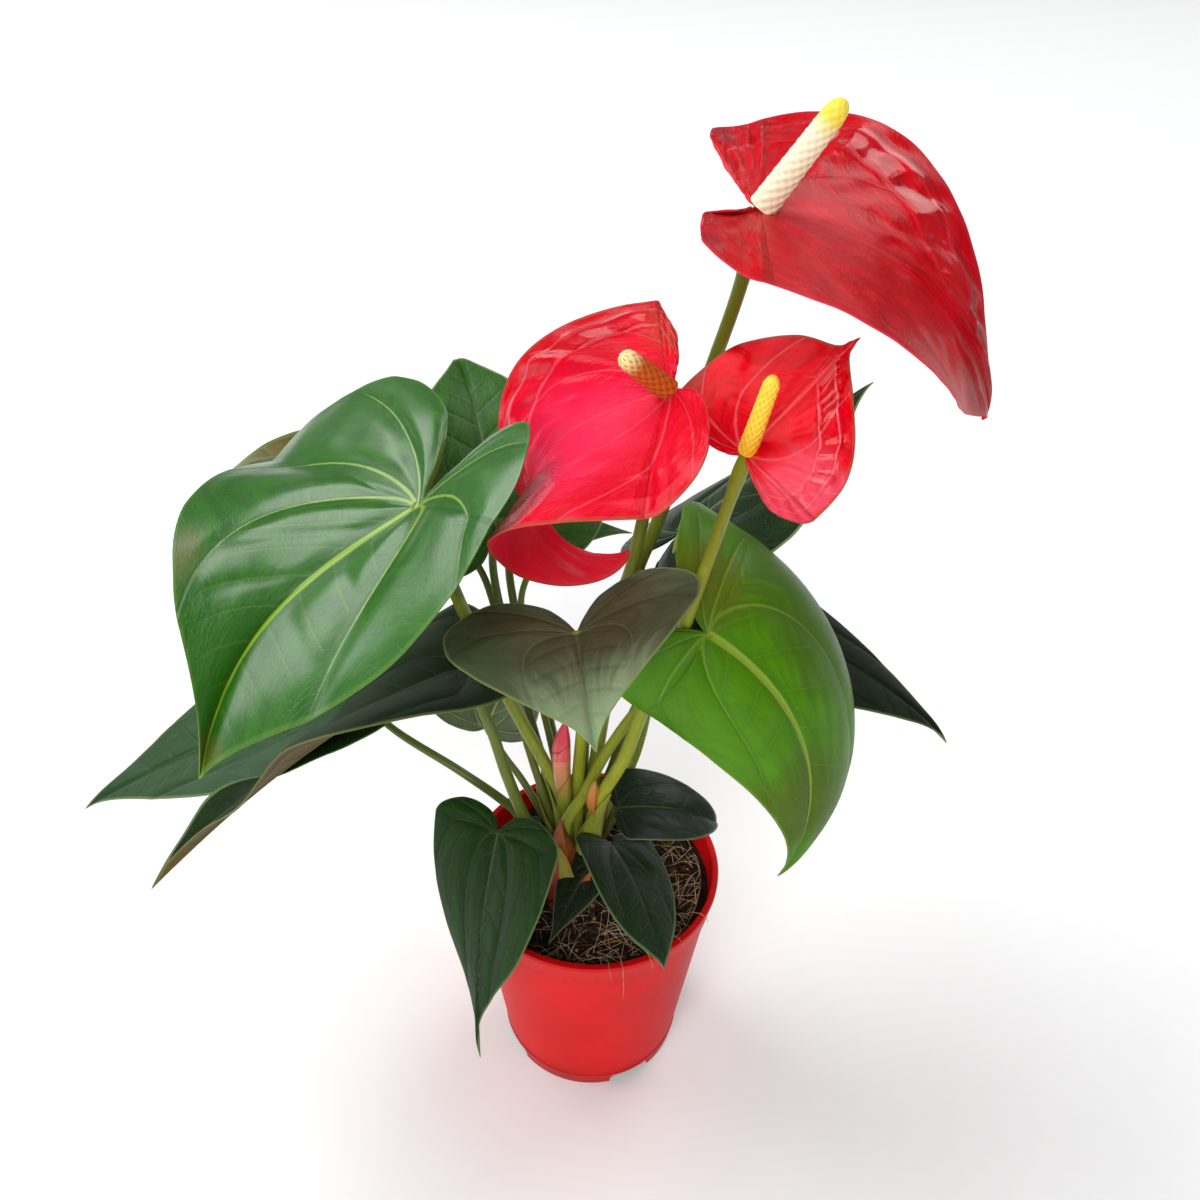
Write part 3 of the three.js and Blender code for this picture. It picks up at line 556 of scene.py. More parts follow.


# colours, shares of the veins and the margin, widths in millimetres and depths of the relief; shade is the
# share of painted shade beside the veins
plainLook = dict(
    body=(40, 100, 45), deep=(22, 66, 30), vein=(120, 160, 85), edge=(150, 170, 105),
    under=(112, 132, 78), speck=(205, 212, 200), edgeAt=0.985, edgeShare=0.5, veinShare=0.6,
    mainShare=0.5, sideShare=0.45, netShare=0.15, net=5.0, rib=1.0, lateral=15, groove=0.35,
    sideGroove=0.2, quiltBump=0.14, pebble=0.012, rough=0.38, coat=0.04, shine=0.2, specks=0.0,
    shade=0.5, patch=0.5, fleck=0.12, tints=(),
)


def leafFinish(name, look, underneath=False):
    look = {**plainLook, **look}
    f = Finish(name)
    flat = f.mark("flat")
    across, along, spread = [100 * c for c in f.split(flat)]
    turn, out, _ = f.split(f.mark("polar"))
    wander = f.noise(flat, 9.0, 2.0) - 0.5
    aside = abs(across) + wander * 0.5
    onward = f.ease(along, -1.5, 0.5)
    ribWide = look["rib"] * (1.15 - 0.85 * f.ease(out, 0.0, 1.0))
    ribMask = f.ease(aside, ribWide * 1.2, ribWide * 0.65) * onward
    near = aside + 30 * (1 - onward)  # the midrib counts only ahead of the base
    mainWide = ribWide * 0.5
    beside = besideMains(f, turn, out, spread, wander)
    mainMask = f.ease(beside, mainWide * 1.25, mainWide * 0.55) * f.ease(out, 0.99, 0.86)
    near = f.least(near, beside)
    start, end = mainVeins[0]
    inner = f.ease(start + (end - start) * out**veinBend - turn, 0.0, 0.03)
    rise = along - abs(across) * lateralRise[0] - across * across * lateralRise[1]
    count = rise / look["lateral"] + lateralShift * f.math("SIGN", across) + lateralShift
    step = f.math("PINGPONG", count + wander * 0.12, 0.5)
    lateral = step * (look["lateral"] * lateralWidth) + (1 - inner) * 40
    lateralMask = f.ease(lateral, 0.45 * look["rib"], 0.12) * f.ease(out, 0.98, 0.75)
    web = f.cells(flat, 100 / look["net"], "DISTANCE_TO_EDGE") * look["net"]
    netMask = f.ease(web, 0.4, 0.05)
    veins = f.most(
        ribMask * look["veinShare"], mainMask * look["mainShare"], lateralMask * look["sideShare"],
        netMask * look["netShare"],
    )
    cloud = f.noise(flat, 100 / 26, 3.0)
    grain = f.noise(flat, 100 / 1.6, 3.0)
    patch = f.ease(cloud, 0.35, 0.68) * look["patch"] + (1 - look["patch"]) * 0.6
    color = f.mix(patch, paint(*look["deep"]), paint(*look["body"]))
    # painted shade: the blade is darker in the grooves beside its veins
    close = f.ease(f.least(near, lateral + 1.5), 6.0, 0.5)  # the blade is darker beside its veins
    color = f.mix(close * look["shade"], color, paint(*look["deep"]))
    color = tinted(f, color, look["tints"], across, along, cloud, ragged=0.9, core=0.35)
    color = f.mix(f.ease(grain, 0.5, 0.8) * look["fleck"], color, paint(*look["vein"]))
    color = f.mix(veins, color, paint(*look["vein"]))
    rim = f.ease(out, look["edgeAt"] - 0.006, look["edgeAt"] + 0.004) * look["edgeShare"]
    color = f.mix(rim, color, paint(*look["edge"]))
    if look["specks"]:
        dots = f.cells(flat, 100 / 5.5)
        kept = f.ease(f.noise(flat, 100 / 9.0, 1.0), 0.5, 0.62)
        color = f.mix(f.ease(dots, 0.085, 0.05) * kept * look["specks"], color, paint(*look["speck"]))
    grooves = look["groove"] * f.ease(near, 0.2, 2.6) + look["sideGroove"] * f.ease(lateral, 0.1, 2.0)
    quilt = f.noise(flat, 100 / 6.5, 2.0) * look["quiltBump"]
    height = grooves + quilt + grain * look["pebble"] + netMask * -0.04
    if underneath:
        color = f.mix(0.62, color, paint(*look["under"]))
        pale = [(under + vein) / 2 for under, vein in zip(look["under"], look["vein"])]
        color = f.mix(veins * 0.8, color, paint(*pale))
        return f.surface(
            color, 0.55 + 0.1 * grain, quilt * 0.5 - grooves * 1.2, Coat_Weight=0.0, Specular_IOR_Level=0.2
        )
    rough = look["rough"] + (cloud - 0.5) * 0.12 + (grain - 0.5) * 0.04
    return f.surface(
        color, rough, height, Coat_Weight=look["coat"], Coat_Roughness=0.24, Specular_IOR_Level=look["shine"]
    )


# a place on a smooth curve through a stalk's points
def splinePoint(points, share):
    last = len(points) - 1
    at = min(max(share, 0) * last, last - 1e-9)
    i = int(at)
    f = at - i
    p1, p2 = points[i], points[i + 1]
    p0 = points[i - 1] if i > 0 else 2 * points[0] - points[1]
    p3 = points[i + 2] if i + 2 <= last else 2 * points[last] - points[last - 1]
    d0, d1, d2 = (np.linalg.norm(b - a) ** 0.5 for a, b in ((p0, p1), (p1, p2), (p2, p3)))
    t1 = ((p1 - p0) / d0 - (p2 - p0) / (d0 + d1) + (p2 - p1) / d1) * d1
    t2 = ((p2 - p1) / d1 - (p3 - p1) / (d1 + d2) + (p3 - p2) / d2) * d1
    square = 3 * p2 - 3 * p1 - 2 * t1 - t2
    return p1 + t1 * f + square * f * f + (2 * p1 - 2 * p2 + t1 + t2) * f**3


# rows of places along a curve, each with its share, its length so far and two sideways directions
def runOf(points, step, low=0.0, high=1.0, parts=400):
    points = [np.array(p, dtype=float) for p in points]
    fine = [splinePoint(points, low + (high - low) * i / parts) for i in range(parts + 1)]
    lengths = np.concatenate([[0], np.cumsum([np.linalg.norm(b - a) for a, b in zip(fine, fine[1:])])])
    count = max(6, round(lengths[-1] / step))
    wanted = np.linspace(0, lengths[-1], count + 1)
    shares = low + (high - low) * np.interp(wanted, lengths, np.arange(parts + 1)) / parts
    places = np.array([splinePoint(points, s) for s in shares])
    ways = np.gradient(places, axis=0)
    ways = ways / np.linalg.norm(ways, axis=1)[:, None]
    side = np.cross(ways[0], (0, 1, 0))
    if np.linalg.norm(side) < 0.2:
        side = np.cross(ways[0], (1, 0, 0))
    sides = []
    for way in ways:
        side = side - way * (way @ side)
        side = side / np.linalg.norm(side)
        sides.append(side)
    sides = np.array(sides)
    return shares, wanted, places, sides, np.cross(ways, sides)


# the way from a curve to a place beside it, from its two sideways directions
def offCurve(angle, radius, first, second):
    return first * (radius * np.cos(angle))[:, None] + second * (radius * np.sin(angle))[:, None]


domeShare = 0.72  # a tube's end closes over this share of its radius and then over its middle


def makeTube(name, points, radiusAt, ridge, sides=20, step=2.6, low=0.0, high=1.0):
    shares, lengths, places, first, second = runOf(points, step, low, high)
    rows = len(shares) - 1
    radii = np.array([radiusAt(s) for s in shares])

    def shape(u, v):
        # the rows next to both ends close over them as a low dome
        row = np.rint(v * (rows + 4)).astype(int)
        k = np.clip(row - 2, 0, rows)
        closing = np.array([0.0, domeShare] + [1.0] * (rows + 1) + [domeShare, 0.0])[row]
        angle = 2 * np.pi * u
        radius = radii[k] * closing * (1 + ridge * np.cos(5 * angle + 0.02 * lengths[k]))
        point = places[k] + offCurve(angle, radius, first[k], second[k])
        return point, {"run": (shares[k], lengths[k] / 100, u)}

    piece = gridSheet(name, sides, rows + 4, shape, closed=True)
    smooth(piece, 60)
    return piece


stalkForm = dict(
    ridge=0.03, knuckleRise=0.25, knuckleAt=0.93, knuckleSpread=0.06, cast=(84, 104, 2), castShare=0.3,
    rough=0.38,
)


# a stalk tapers and has a knuckle below its blade
def stalkRadius(blade):
    form = stalkForm
    thick, thin = blade["radius"]
    end = 1 / len(blade["stalk"])

    def radiusAt(share):
        s = (share - end) / (1 - end)
        knuckle = math.exp(-(((s - form["knuckleAt"]) / form["knuckleSpread"]) ** 2))
        return thick + (thin - thick) * min(max(s, 0), 1) + form["knuckleRise"] * thick * knuckle

    return radiusAt


# a stalk's colours at its foot, in its middle and below its blade
def stalkFinish(name, low, middle, high):
    f = Finish(name)
    share, _, _ = f.split(f.mark("run"))
    place = f.place()
    streaks = f.noise(f.stretched(place, 1.0, 1.0, 0.12), 900.0, 3.0)
    mottle = f.noise(place, 160.0, 3.0)
    color = f.mix(f.ease(share + (mottle - 0.5) * 0.2, 0.12, 0.42), paint(*low), paint(*middle))
    color = f.mix(f.ease(share + (mottle - 0.5) * 0.2, 0.6, 0.97), color, paint(*high))
    color = f.mix(f.ease(streaks, 0.45, 0.75) * 0.3, color, paint(*[c * 0.62 for c in middle]))
    dots = f.ease(f.cells(place, 700.0), 0.16, 0.08)
    color = f.mix(dots * 0.3, color, paint(*[min(c * 1.3 + 20, 255) for c in middle]))
    color = f.mix(stalkForm["castShare"], color, paint(*stalkForm["cast"]))
    rough = stalkForm["rough"] + (mottle - 0.5) * 0.15
    return f.surface(color, rough, streaks * 0.08 + dots * 0.03, Coat_Weight=0.05, Specular_IOR_Level=0.3)


def sheathFinish(name, body, tip, dry, dryShare=0.35):
    f = Finish(name)
    across, along, _ = f.split(f.mark("run"))
    place = f.place()
    fibres = f.noise(f.stretched(place, 1.0, 1.0, 0.14), 1100.0, 3.0)
    mottle = f.noise(place, 130.0, 3.0)
    color = f.mix(f.ease(along + (mottle - 0.5) * 0.3, 0.15, 0.85), paint(*body), paint(*tip))
    margin = f.ease(abs(across - 0.5) + (mottle - 0.5) * 0.12, 0.34, 0.5)
    top = f.ease(along + (mottle - 0.5) * 0.35, 0.72, 1.0)
    worn = f.most(margin, top) * dryShare + f.ease(mottle, 0.58, 0.75) * dryShare * 0.6
    color = f.mix(worn, color, paint(*dry))
    color = f.mix(f.ease(fibres, 0.5, 0.72) * 0.35, color, paint(*[c * 0.6 for c in dry]))
    return f.surface(color, 0.5 + (mottle - 0.5) * 0.2, fibres * 0.18 + mottle * 0.1, Coat_Weight=0.05)


sheathForm = dict(
    thick=0.55, step=1.6, gap=0.35, flare=0.9, shortSides=0.22, close=1.12, narrowing=0.72, creases=0.04,
    parts=26,
)


# a boat-shaped sheath that clasps the foot of a stalk and opens towards the plant's middle
def makeSheath(name, blade, finish, high, swell, wrap):
    form = sheathForm
    shares, _, places, first, second = runOf([*blade["stalk"], blade["base"]], form["step"], high=high)
    rows = len(shares) - 1
    radiusAt = stalkRadius(blade)
    radii = np.array([radiusAt(s) for s in shares])
    inward = np.array([crownForm["x"], crownForm["y"], 0]) - places[rows // 2] * (1, 1, 0)
    opening = math.atan2(second[rows // 2] @ inward, first[rows // 2] @ inward)

    def shape(u, v):
        aside = np.abs(2 * u - 1)
        reach = v * (1 - form["shortSides"] * aside**2)
        k = np.clip(reach * rows, 0, rows)
        i = np.minimum(k.astype(int), rows - 1)
        f = (k - i)[:, None]
        centre, a, b = (rail[i] * (1 - f) + rail[i + 1] * f for rail in (places, first, second))
        swelling = swell - (swell - form["close"]) * v**1.5
        radius = radii[i] * swelling + form["gap"] + form["flare"] * aside**3 * (1 - v)
        spread = wrap * (1 - form["narrowing"] * v**2.2)
        angle = opening + np.pi + (u - 0.5) * 2 * np.pi * spread
        radius = radius * (1 + form["creases"] * np.sin(9 * angle) * (1 - v))
        return centre + offCurve(angle, radius, a, b), {"run": (u, v, u)}

    piece = gridSheet(name, form["parts"], form["parts"], shape)
    applied(piece, "SOLIDIFY", thickness=form["thick"] * mm, offset=0)
    smooth(piece, 60)
    settle(piece, "crown", finishes=[finish])


leafDetail = dict(large=(190, 44), medium=(150, 34), small=(96, 22))  # columns and rows of a blade
leafThickness = 0.8
# colours of stalks that several leaves share, and how the leaves low over the soil look
dullStem = ((96, 106, 56), (76, 88, 46), (66, 78, 42))
backStem = ((120, 132, 60), (84, 98, 44), (90, 106, 50))
potLook = dict(
    edgeAt=0.974, rib=0.6, quiltBump=0.3, net=3.5, rough=0.33, coat=0.12, sideShare=0.3, groove=0.2,
    sideGroove=0.1,
)
# every leaf: where its blade starts, how it lies and bends, the points of its stalk and its look
leaves = dict(
    left_large=dict(
        base=(-60, -44, 346), heading=-128, pitch=-28, roll=18, length=111, width=144, lobe=43,
        droop=7, lift=6, foldL=9, foldR=9, tipL=-8, tipR=23, arch=15, twist=-26, sway=-10,
        skew=0.4, lobeSkew=0.1, bow=22, outline=broadLeaf, wave=1.5, detail="large",
        quilt=1.7, lateral=26, slot="leaf_mid",
        stalk=[
            (-10, 4, 122), (-16, 5, 160), (-24, 2, 186), (-34, 0, 214),
            (-42, -5, 241), (-51, -21, 286), (-58, -37, 332),
        ],
        radius=[3.1, 2.2],
        look=dict(
            body=(44, 108, 2), deep=(26, 82, 2), vein=(150, 188, 56), edge=(104, 146, 50), rib=1.5,
            edgeShare=0.3, groove=0.3, sideGroove=0.06, quiltBump=0.08, rough=0.32, coat=0.65, shine=0.3,
            veinShare=0.8, mainShare=0.6, sideShare=0.12, netShare=0.03, shade=0.35, fleck=0.05,
            tints=(
                dict(at=(60, 60), size=16, color=(104, 96, 40), share=0.45),
                dict(at=(2, 106), size=10, color=(104, 92, 40), share=0.45),
            ),
        ),
        stem=((170, 178, 76), (132, 140, 44), (118, 130, 44)),
    ),
    left_low=dict(
        base=(-116, 45, 187), heading=-173, pitch=-20, roll=6, length=155, width=124, lobe=43,
        droop=12, lift=8, foldL=8, foldR=12, tipL=-4, tipR=3, twist=-7,
        wave=1.5, detail="large", quilt=1.4, lateral=20, slot="leaf_dark",
        stalk=[(-14, 4, 120), (-42, 4, 155), (-62, 10, 168), (-97, 29, 178)],
        radius=[2.2, 1.5],
        look=dict(
            body=(48, 84, 44), deep=(28, 56, 30), vein=(92, 124, 76), edge=(122, 142, 88), veinShare=0.45,
            sideShare=0.25, netShare=0.08,
        ),
        stem=((120, 132, 66), (84, 98, 46), (70, 88, 44)),
    ),
    left_folded=dict(
        base=(-57, -9, 245), heading=-171, pitch=-2, roll=12, length=166, width=118, lobe=24,
        droop=42, lift=8, foldL=21, foldR=9, tipL=50, tipR=-13, arch=17, archTip=31, twist=8,
        untwist=27, tuck=9, rear=44, skew=0.05, lobeSkew=-0.35, bendAt=0.3, wave=1, detail="large",
        quilt=1.0, lateral=20, slot="leaf_dark",
        stalk=[(-13, -3, 118), (-29, -8, 151), (-38, -14, 190), (-44, -14, 218), (-51, -11, 237)],
        radius=[2.8, 1.8],
        look=dict(
            body=(34, 56, 24), deep=(20, 34, 14), vein=(82, 104, 62), edge=(134, 154, 100), edgeAt=0.976,
            rough=0.56, shine=0.08, coat=0.0, veinShare=0.45, mainShare=0.35, sideShare=0.2, netShare=0.06,
            under=(112, 92, 40),
        ),
        stem=((140, 150, 74), (98, 110, 50), (86, 100, 48)),
    ),
    front_bronze=dict(
        base=(-7, -48, 296), heading=-85, pitch=13, roll=11, length=64, width=94, lobe=26,
        droop=18, lift=11, foldL=17, foldR=14, tipL=13, tipR=7, arch=10, archTip=8, twist=3,
        wave=1, detail="large", quilt=1.1, lateral=12, slot="leaf_bronze",
        stalk=[(-8, 3, 122), (-8, 5, 160), (-7, 2, 185), (-6, -8, 216), (-8, -38, 284)],
        radius=[3.1, 1.8],
        look=dict(
            body=(94, 114, 80), deep=(68, 84, 58), vein=(128, 142, 100), edge=(150, 168, 100), edgeAt=0.984,
            edgeShare=0.6, rib=0.8, rough=0.5, coat=0.02, shine=0.2, veinShare=0.3, sideShare=0.12,
            netShare=0.04, lateral=12,
            tints=(
                dict(at=(0, 4), size=34, color=(92, 76, 52), share=0.45),
                dict(at=(24, -12), size=18, color=(88, 66, 48), share=0.45),
                dict(at=(-24, -12), size=18, color=(88, 66, 48), share=0.45),
                # painted sheen: a pale grey-green highlight over the tip
                dict(at=(0, 62), size=50, color=(160, 190, 146), share=0.75),
            ),
        ),
        stem=((186, 190, 74), (164, 170, 52), (124, 132, 48)),
    ),
    right_bright=dict(
        base=(41, -33, 286), heading=-12, pitch=-29, roll=41, length=136, width=119, lobe=25,
        droop=58, lift=10, foldL=7, foldR=4, tipR=2, tipL=2, arch=86, archTip=4, sway=-62,
        skew=-0.2, lobeSkew=-0.09, bendAt=0.94, wave=1, detail="large",
        quilt=1.0, lateral=18, slot="leaf_bright",
        stalk=[
            (-12, -2, 118), (-13, -6, 151), (-4, -6, 173), (3, -4, 191),
            (18, -4, 222), (30, -15, 247), (39, -25, 268),
        ],
        radius=[2.8, 1.8],
        look=dict(
            body=(84, 140, 4), deep=(60, 108, 4), vein=(160, 186, 70), edge=(140, 170, 60), rib=1.5,
            veinShare=0.55, mainShare=0.25, edgeShare=0.3, sideShare=0.08,
            netShare=0.0, groove=0.25, sideGroove=0.05, quiltBump=0.06, rough=0.4, coat=0.04, shine=0.16,
            fleck=0.06, patch=0.25, lateral=18,
            tints=(
                dict(at=(-18, -10), size=22, color=(110, 88, 36), share=0.4),
                # painted shade: darker over the hanging tip and over part of one side
                dict(at=(4, 92), size=34, color=(74, 86, 6), share=0.7),
                dict(at=(-44, 34), size=46, color=(66, 92, 30), share=0.7),
            ),
        ),
        stem=((176, 180, 62), (146, 150, 40), (134, 144, 40)),
    ),
    right_dark=dict(
        base=(48, 38, 245), heading=-13, pitch=-7, roll=-6, length=130, width=98, lobe=28,
        droop=39, lift=-3, foldL=2, foldR=5, arch=9, twist=4, sway=5,
        wave=1.5, detail="large", quilt=1.0, lateral=18, slot="leaf_black",
        stalk=[(0, 3, 122), (4, 6, 160), (8, 6, 177), (14, 8, 201), (23, 15, 220), (36, 29, 237)],
        radius=[2.4, 1.6],
        look=dict(
            body=(30, 44, 24), deep=(18, 28, 14), vein=(66, 84, 54), edge=(104, 122, 80), veinShare=0.4,
            sideShare=0.15, netShare=0.05, rough=0.52, shine=0.08, coat=0.0,
        ),
        stem=((110, 120, 60), (74, 86, 42), (66, 78, 40)),
    ),
    back_right=dict(
        base=(38, 77, 258), heading=31, pitch=26, roll=-22, length=117, width=108, lobe=24,
        lift=10, foldR=5, tipL=-13, tipR=-20, arch=16, skew=0.15,
        wave=1, detail="large", quilt=1.2, lateral=18, slot="leaf_dark",
        stalk=[
            (0, 9, 122), (9, 21, 142), (17, 29, 153), (22, 31, 173),
            (27, 36, 217), (31, 39, 250), (34, 58, 258),
        ],
        radius=[2.2, 1.5],
        look=dict(
            body=(30, 54, 26), deep=(18, 34, 16), vein=(112, 140, 84), veinShare=0.6, sideShare=0.4,
            netShare=0.08, shine=0.12, coat=0.0,
        ),
        stem=((150, 160, 72), (138, 150, 58), (150, 164, 66)),
    ),
    back_middle=dict(
        base=(-28, 52, 297), heading=65, pitch=8, length=70, width=58, lobe=15,
        droop=50, lift=8, foldL=10, foldR=10, wave=1, detail="medium",
        quilt=0.8, lateral=12, slot="leaf_mid",
        stalk=[
            (-11, 10, 122), (-16, 18, 158), (-22, 26, 190), (-31, 30, 226),
            (-37, 31, 254), (-38, 38, 274),
        ],
        radius=[2.2, 1.5],
        look=dict(body=(50, 104, 48), deep=(28, 74, 34), vein=(120, 150, 88), rib=0.8, lateral=12),
        stem=backStem,
    ),
    back_left=dict(
        base=(-42, 25, 297), heading=105, pitch=56, length=91, width=86, lobe=22,
        droop=66, lift=8, foldL=11, foldR=15, tipL=3, tipR=8, sway=3,
        wave=1.5, detail="medium", quilt=1.2, lateral=13, slot="leaf_mid",
        stalk=[
            (-15, 7, 122), (-22, 15, 160), (-28, 20, 183), (-37, 25, 225),
            (-43, 25, 260), (-44, 24, 280),
        ],
        radius=[2.2, 1.5],
        look=dict(
            body=(56, 108, 36), deep=(34, 76, 24), vein=(122, 150, 88), rib=0.8, quiltBump=0.3, coat=0.04,
            rough=0.4, shine=0.16, sideShare=0.4, lateral=13,
        ),
        stem=backStem,
    ),
    back_young=dict(
        base=(-23, 32, 281), heading=10, pitch=20, length=38, width=28, lobe=8,
        droop=35, lift=6, foldL=12, foldR=12, detail="small", quilt=0.5, lateral=8, slot="leaf_mid",
        stalk=[(-12, 8, 122), (-17, 14, 160), (-21, 17, 184), (-29, 25, 222), (-33, 29, 255)],
        radius=[1.8, 1.3],
        look=dict(body=(76, 128, 52), deep=(46, 96, 38), vein=(150, 176, 100), rib=0.6, net=3.5, lateral=8),
        stem=((130, 140, 64), (100, 114, 50), (110, 126, 56)),
    ),
    left_young=dict(
        base=(-100, 51, 295), heading=175, pitch=45, roll=20, length=63, width=65, lobe=20,
        droop=80, lift=8, foldL=16, foldR=15, tipL=7, tipR=12, detail="medium",
        quilt=0.7, lateral=11, slot="leaf_olive",
        stalk=[
            (-15, 5, 119), (-24, 7, 158), (-31, 12, 184), (-39, 22, 214),
            (-45, 33, 245), (-54, 39, 267), (-78, 46, 280),
        ],
        radius=[1.9, 1.3],
        look=dict(
            body=(112, 98, 54), deep=(88, 76, 42), vein=(140, 136, 82), edge=(92, 124, 58), edgeAt=0.93,
            edgeShare=0.75, rib=0.8, veinShare=0.4, rough=0.3, coat=0.35, lateral=11,
        ),
        stem=((120, 128, 58), (104, 104, 50), (116, 108, 54)),
    ),
    back_low=dict(
        base=(-53, 42, 166), heading=66, pitch=30, length=66, width=58, lobe=6,
        droop=10, lift=8, foldL=12, foldR=22, detail="medium", quilt=0.6, lateral=12, slot="leaf_grey",
        stalk=[(-15, 8, 118), (-24, 8, 142), (-35, 18, 156), (-43, 27, 161)],
        radius=[1.9, 1.4],
        look=dict(
            body=(88, 104, 74), deep=(62, 78, 54), vein=(158, 160, 96), rib=0.7, veinShare=0.6,
            sideShare=0.5, rough=0.45, coat=0.1, lateral=12,
            tints=(dict(at=(0, 58), size=18, color=(112, 88, 52), share=0.6),),
        ),
        stem=((126, 132, 66), (104, 112, 56), (118, 124, 66)),
    ),
    front_low=dict(
        base=(-41, -32, 173), heading=-107, pitch=-48, roll=27, length=100, width=76, lobe=11,
        droop=22, lift=6, foldL=6, foldR=4, tipL=3, tipR=-11, arch=4, twist=8,
        outline=dripLeaf, wave=1, detail="large", quilt=0.8, lateral=15, slot="leaf_dark",
        stalk=[(-13, -4, 115), (-26, -15, 141), (-36, -25, 164)],
        radius=[2.2, 1.5],
        look=dict(
            body=(34, 68, 20), deep=(18, 40, 10), vein=(84, 108, 64), edge=(104, 126, 78), rib=0.6,
            veinShare=0.5, mainShare=0.35, sideShare=0.18, netShare=0.06, groove=0.25, sideGroove=0.06,
            shine=0.1, specks=0.7,
        ),
        stem=((104, 112, 58), (66, 78, 42), (60, 72, 40)),
    ),
    left_sprout=dict(
        base=(-26, 9, 125), heading=183, pitch=10, length=28, width=24, lobe=3,
        droop=20, lift=4, foldL=8, foldR=8, detail="small", quilt=0.3, lateral=8, slot="leaf_black",
        stalk=[(-14, 5, 113), (-20, 7, 119)],
        radius=[1.4, 1.1],
        look=dict(body=(30, 62, 58), deep=(16, 40, 40), vein=(84, 110, 92), rib=0.5, net=3.0, lateral=8),
        stem=((84, 92, 56), (66, 76, 46), (60, 72, 46)),
    ),
    pot_front=dict(
        base=(9, -15, 147), heading=-61, pitch=-6, roll=-28, length=60, width=47, lobe=8,
        outline=ovalLeaf, droop=29, lift=4, foldL=3, foldR=8, tipL=2, tipR=-9, arch=5, twist=7, sway=3,
        wave=0.8, detail="medium", quilt=0.6, lateral=11, slot="leaf_dark",
        stalk=[(-3, -4, 113), (4, -9, 128)],
        radius=[1.7, 1.3],
        look=dict(
            potLook, body=(34, 58, 32), deep=(20, 36, 20), vein=(88, 110, 74), edge=(132, 148, 104),
            lateral=11,
        ),
        stem=dullStem,
    ),
    pot_right=dict(
        base=(12, 2, 154), heading=11, pitch=-2, length=53, width=45, lobe=4,
        outline=roundLeaf, droop=41, lift=6, foldL=9, foldR=10, tipL=6, tipR=-5, arch=5, twist=7, sway=2,
        wave=0.8, detail="medium", quilt=0.6, lateral=10, slot="leaf_black",
        stalk=[(-2, 3, 114), (5, 4, 134)],
        radius=[1.7, 1.3],
        look=dict(
            potLook, body=(30, 46, 30), deep=(18, 28, 18), vein=(80, 98, 68), edge=(122, 138, 96),
            lateral=10,
        ),
        stem=dullStem,
    ),
    soil_front=dict(
        base=(-2, -15, 133), heading=-122, pitch=-29, roll=5, length=39, width=25, lobe=4,
        droop=6, foldL=6, foldR=6, detail="small", quilt=0.4, lateral=8, slot="leaf_black",
        stalk=[(-6, -4, 112), (-4, -9, 122)],
        radius=[1.4, 1.1],
        look=dict(
            body=(28, 42, 26), deep=(16, 24, 16), vein=(78, 94, 66), edge=(128, 140, 100), edgeAt=0.968,
            rib=0.5, quiltBump=0.25, net=3.0, groove=0.2, sideGroove=0.1, lateral=8,
        ),
        stem=dullStem,
    ),
)


def makeLeaf(name, leaf):
    columns, rows = leafDetail[leaf["detail"]]
    finishes = [
        leafFinish(name + "Top", leaf["look"]),
        leafFinish(name + "Under", leaf["look"], underneath=True),
    ]
    blade = makeBlade(name + "_blade", leaf, columns, rows, leafThickness, leafRelief, finishes)
    settle(blade, leaf["slot"], "leaf_" + name)
    makeStem(name, leaf, "petiole_" + name, "stalk")


def makeStem(name, spec, node, slot):
    points = [*spec["stalk"], spec["base"]]
    stem = makeTube(name + "_stem", points, stalkRadius(spec), stalkForm["ridge"])
    settle(stem, slot, node, finishes=[stalkFinish(name + "Stem", *spec["stem"])])


for leafName, leafSpec in leaves.items():
    makeLeaf(leafName, leafSpec)
print("stage: leaves and their stalks")

spatheThickness = 1.0
spatheDetail = (260, 64)  # columns and rows
# two ridges run along a spathe's margin, at shares of the way out, with puckered cells between them
spatheRidges = dict(
    inner=0.7, outer=0.87, width=0.011, rise=0.5, cells=1.7, cellRise=0.75, puckerAt=0.8, puckerWide=0.15,
    puckerRise=0.7, faint=0.3, faintTo=(-6, 14), looseRise=0.35,
)


def spatheRelief(b, side, turn, out, x, y, spread):
    form = spatheRidges
    across = side * x
    loose = hills(across, y, 9, 5)
    # the ridges are faint on one side of the midrib
    showing = form["faint"] + (1 - form["faint"]) * eased(across * b["ridged"], *form["faintTo"])
    band = np.exp(-(((out - form["puckerAt"]) / form["puckerWide"]) ** 2))
    height = b["pucker"] * form["puckerRise"] * band * np.sin(2 * np.pi * b["puckers"] * turn) * showing
    between = eased(out, form["inner"] - 0.03, form["inner"] + 0.04) * (1 - eased(out, 0.93, 1.0))
    inside = eased(out, 0.4, 0.5) * (1 - eased(out, form["inner"] - 0.06, form["inner"]))
    cells = np.sin(2 * np.pi * b["puckers"] * form["cells"] * turn + 1.5 * loose)
    height = height + showing * form["cellRise"] * (between + 0.5 * inside) * cells
    for line in (form["inner"], form["outer"]):
        height = height + showing * form["rise"] * np.exp(-(((out - line) / form["width"]) ** 2))
    return height + form["looseRise"] * loose * eased(out, 0.1, 0.5)


# what a bloom's own look leaves out; its ridges and glossy dimples come in across it between ridgeFrom
# and ridgeTo, in millimetres from the midrib
plainSpathe = dict(
    under=(240, 20, 56), rough=0.3, coat=0.25, shine=0.12, gloss=0.5, dimples=44.0, dimpleDepth=0.9,
)


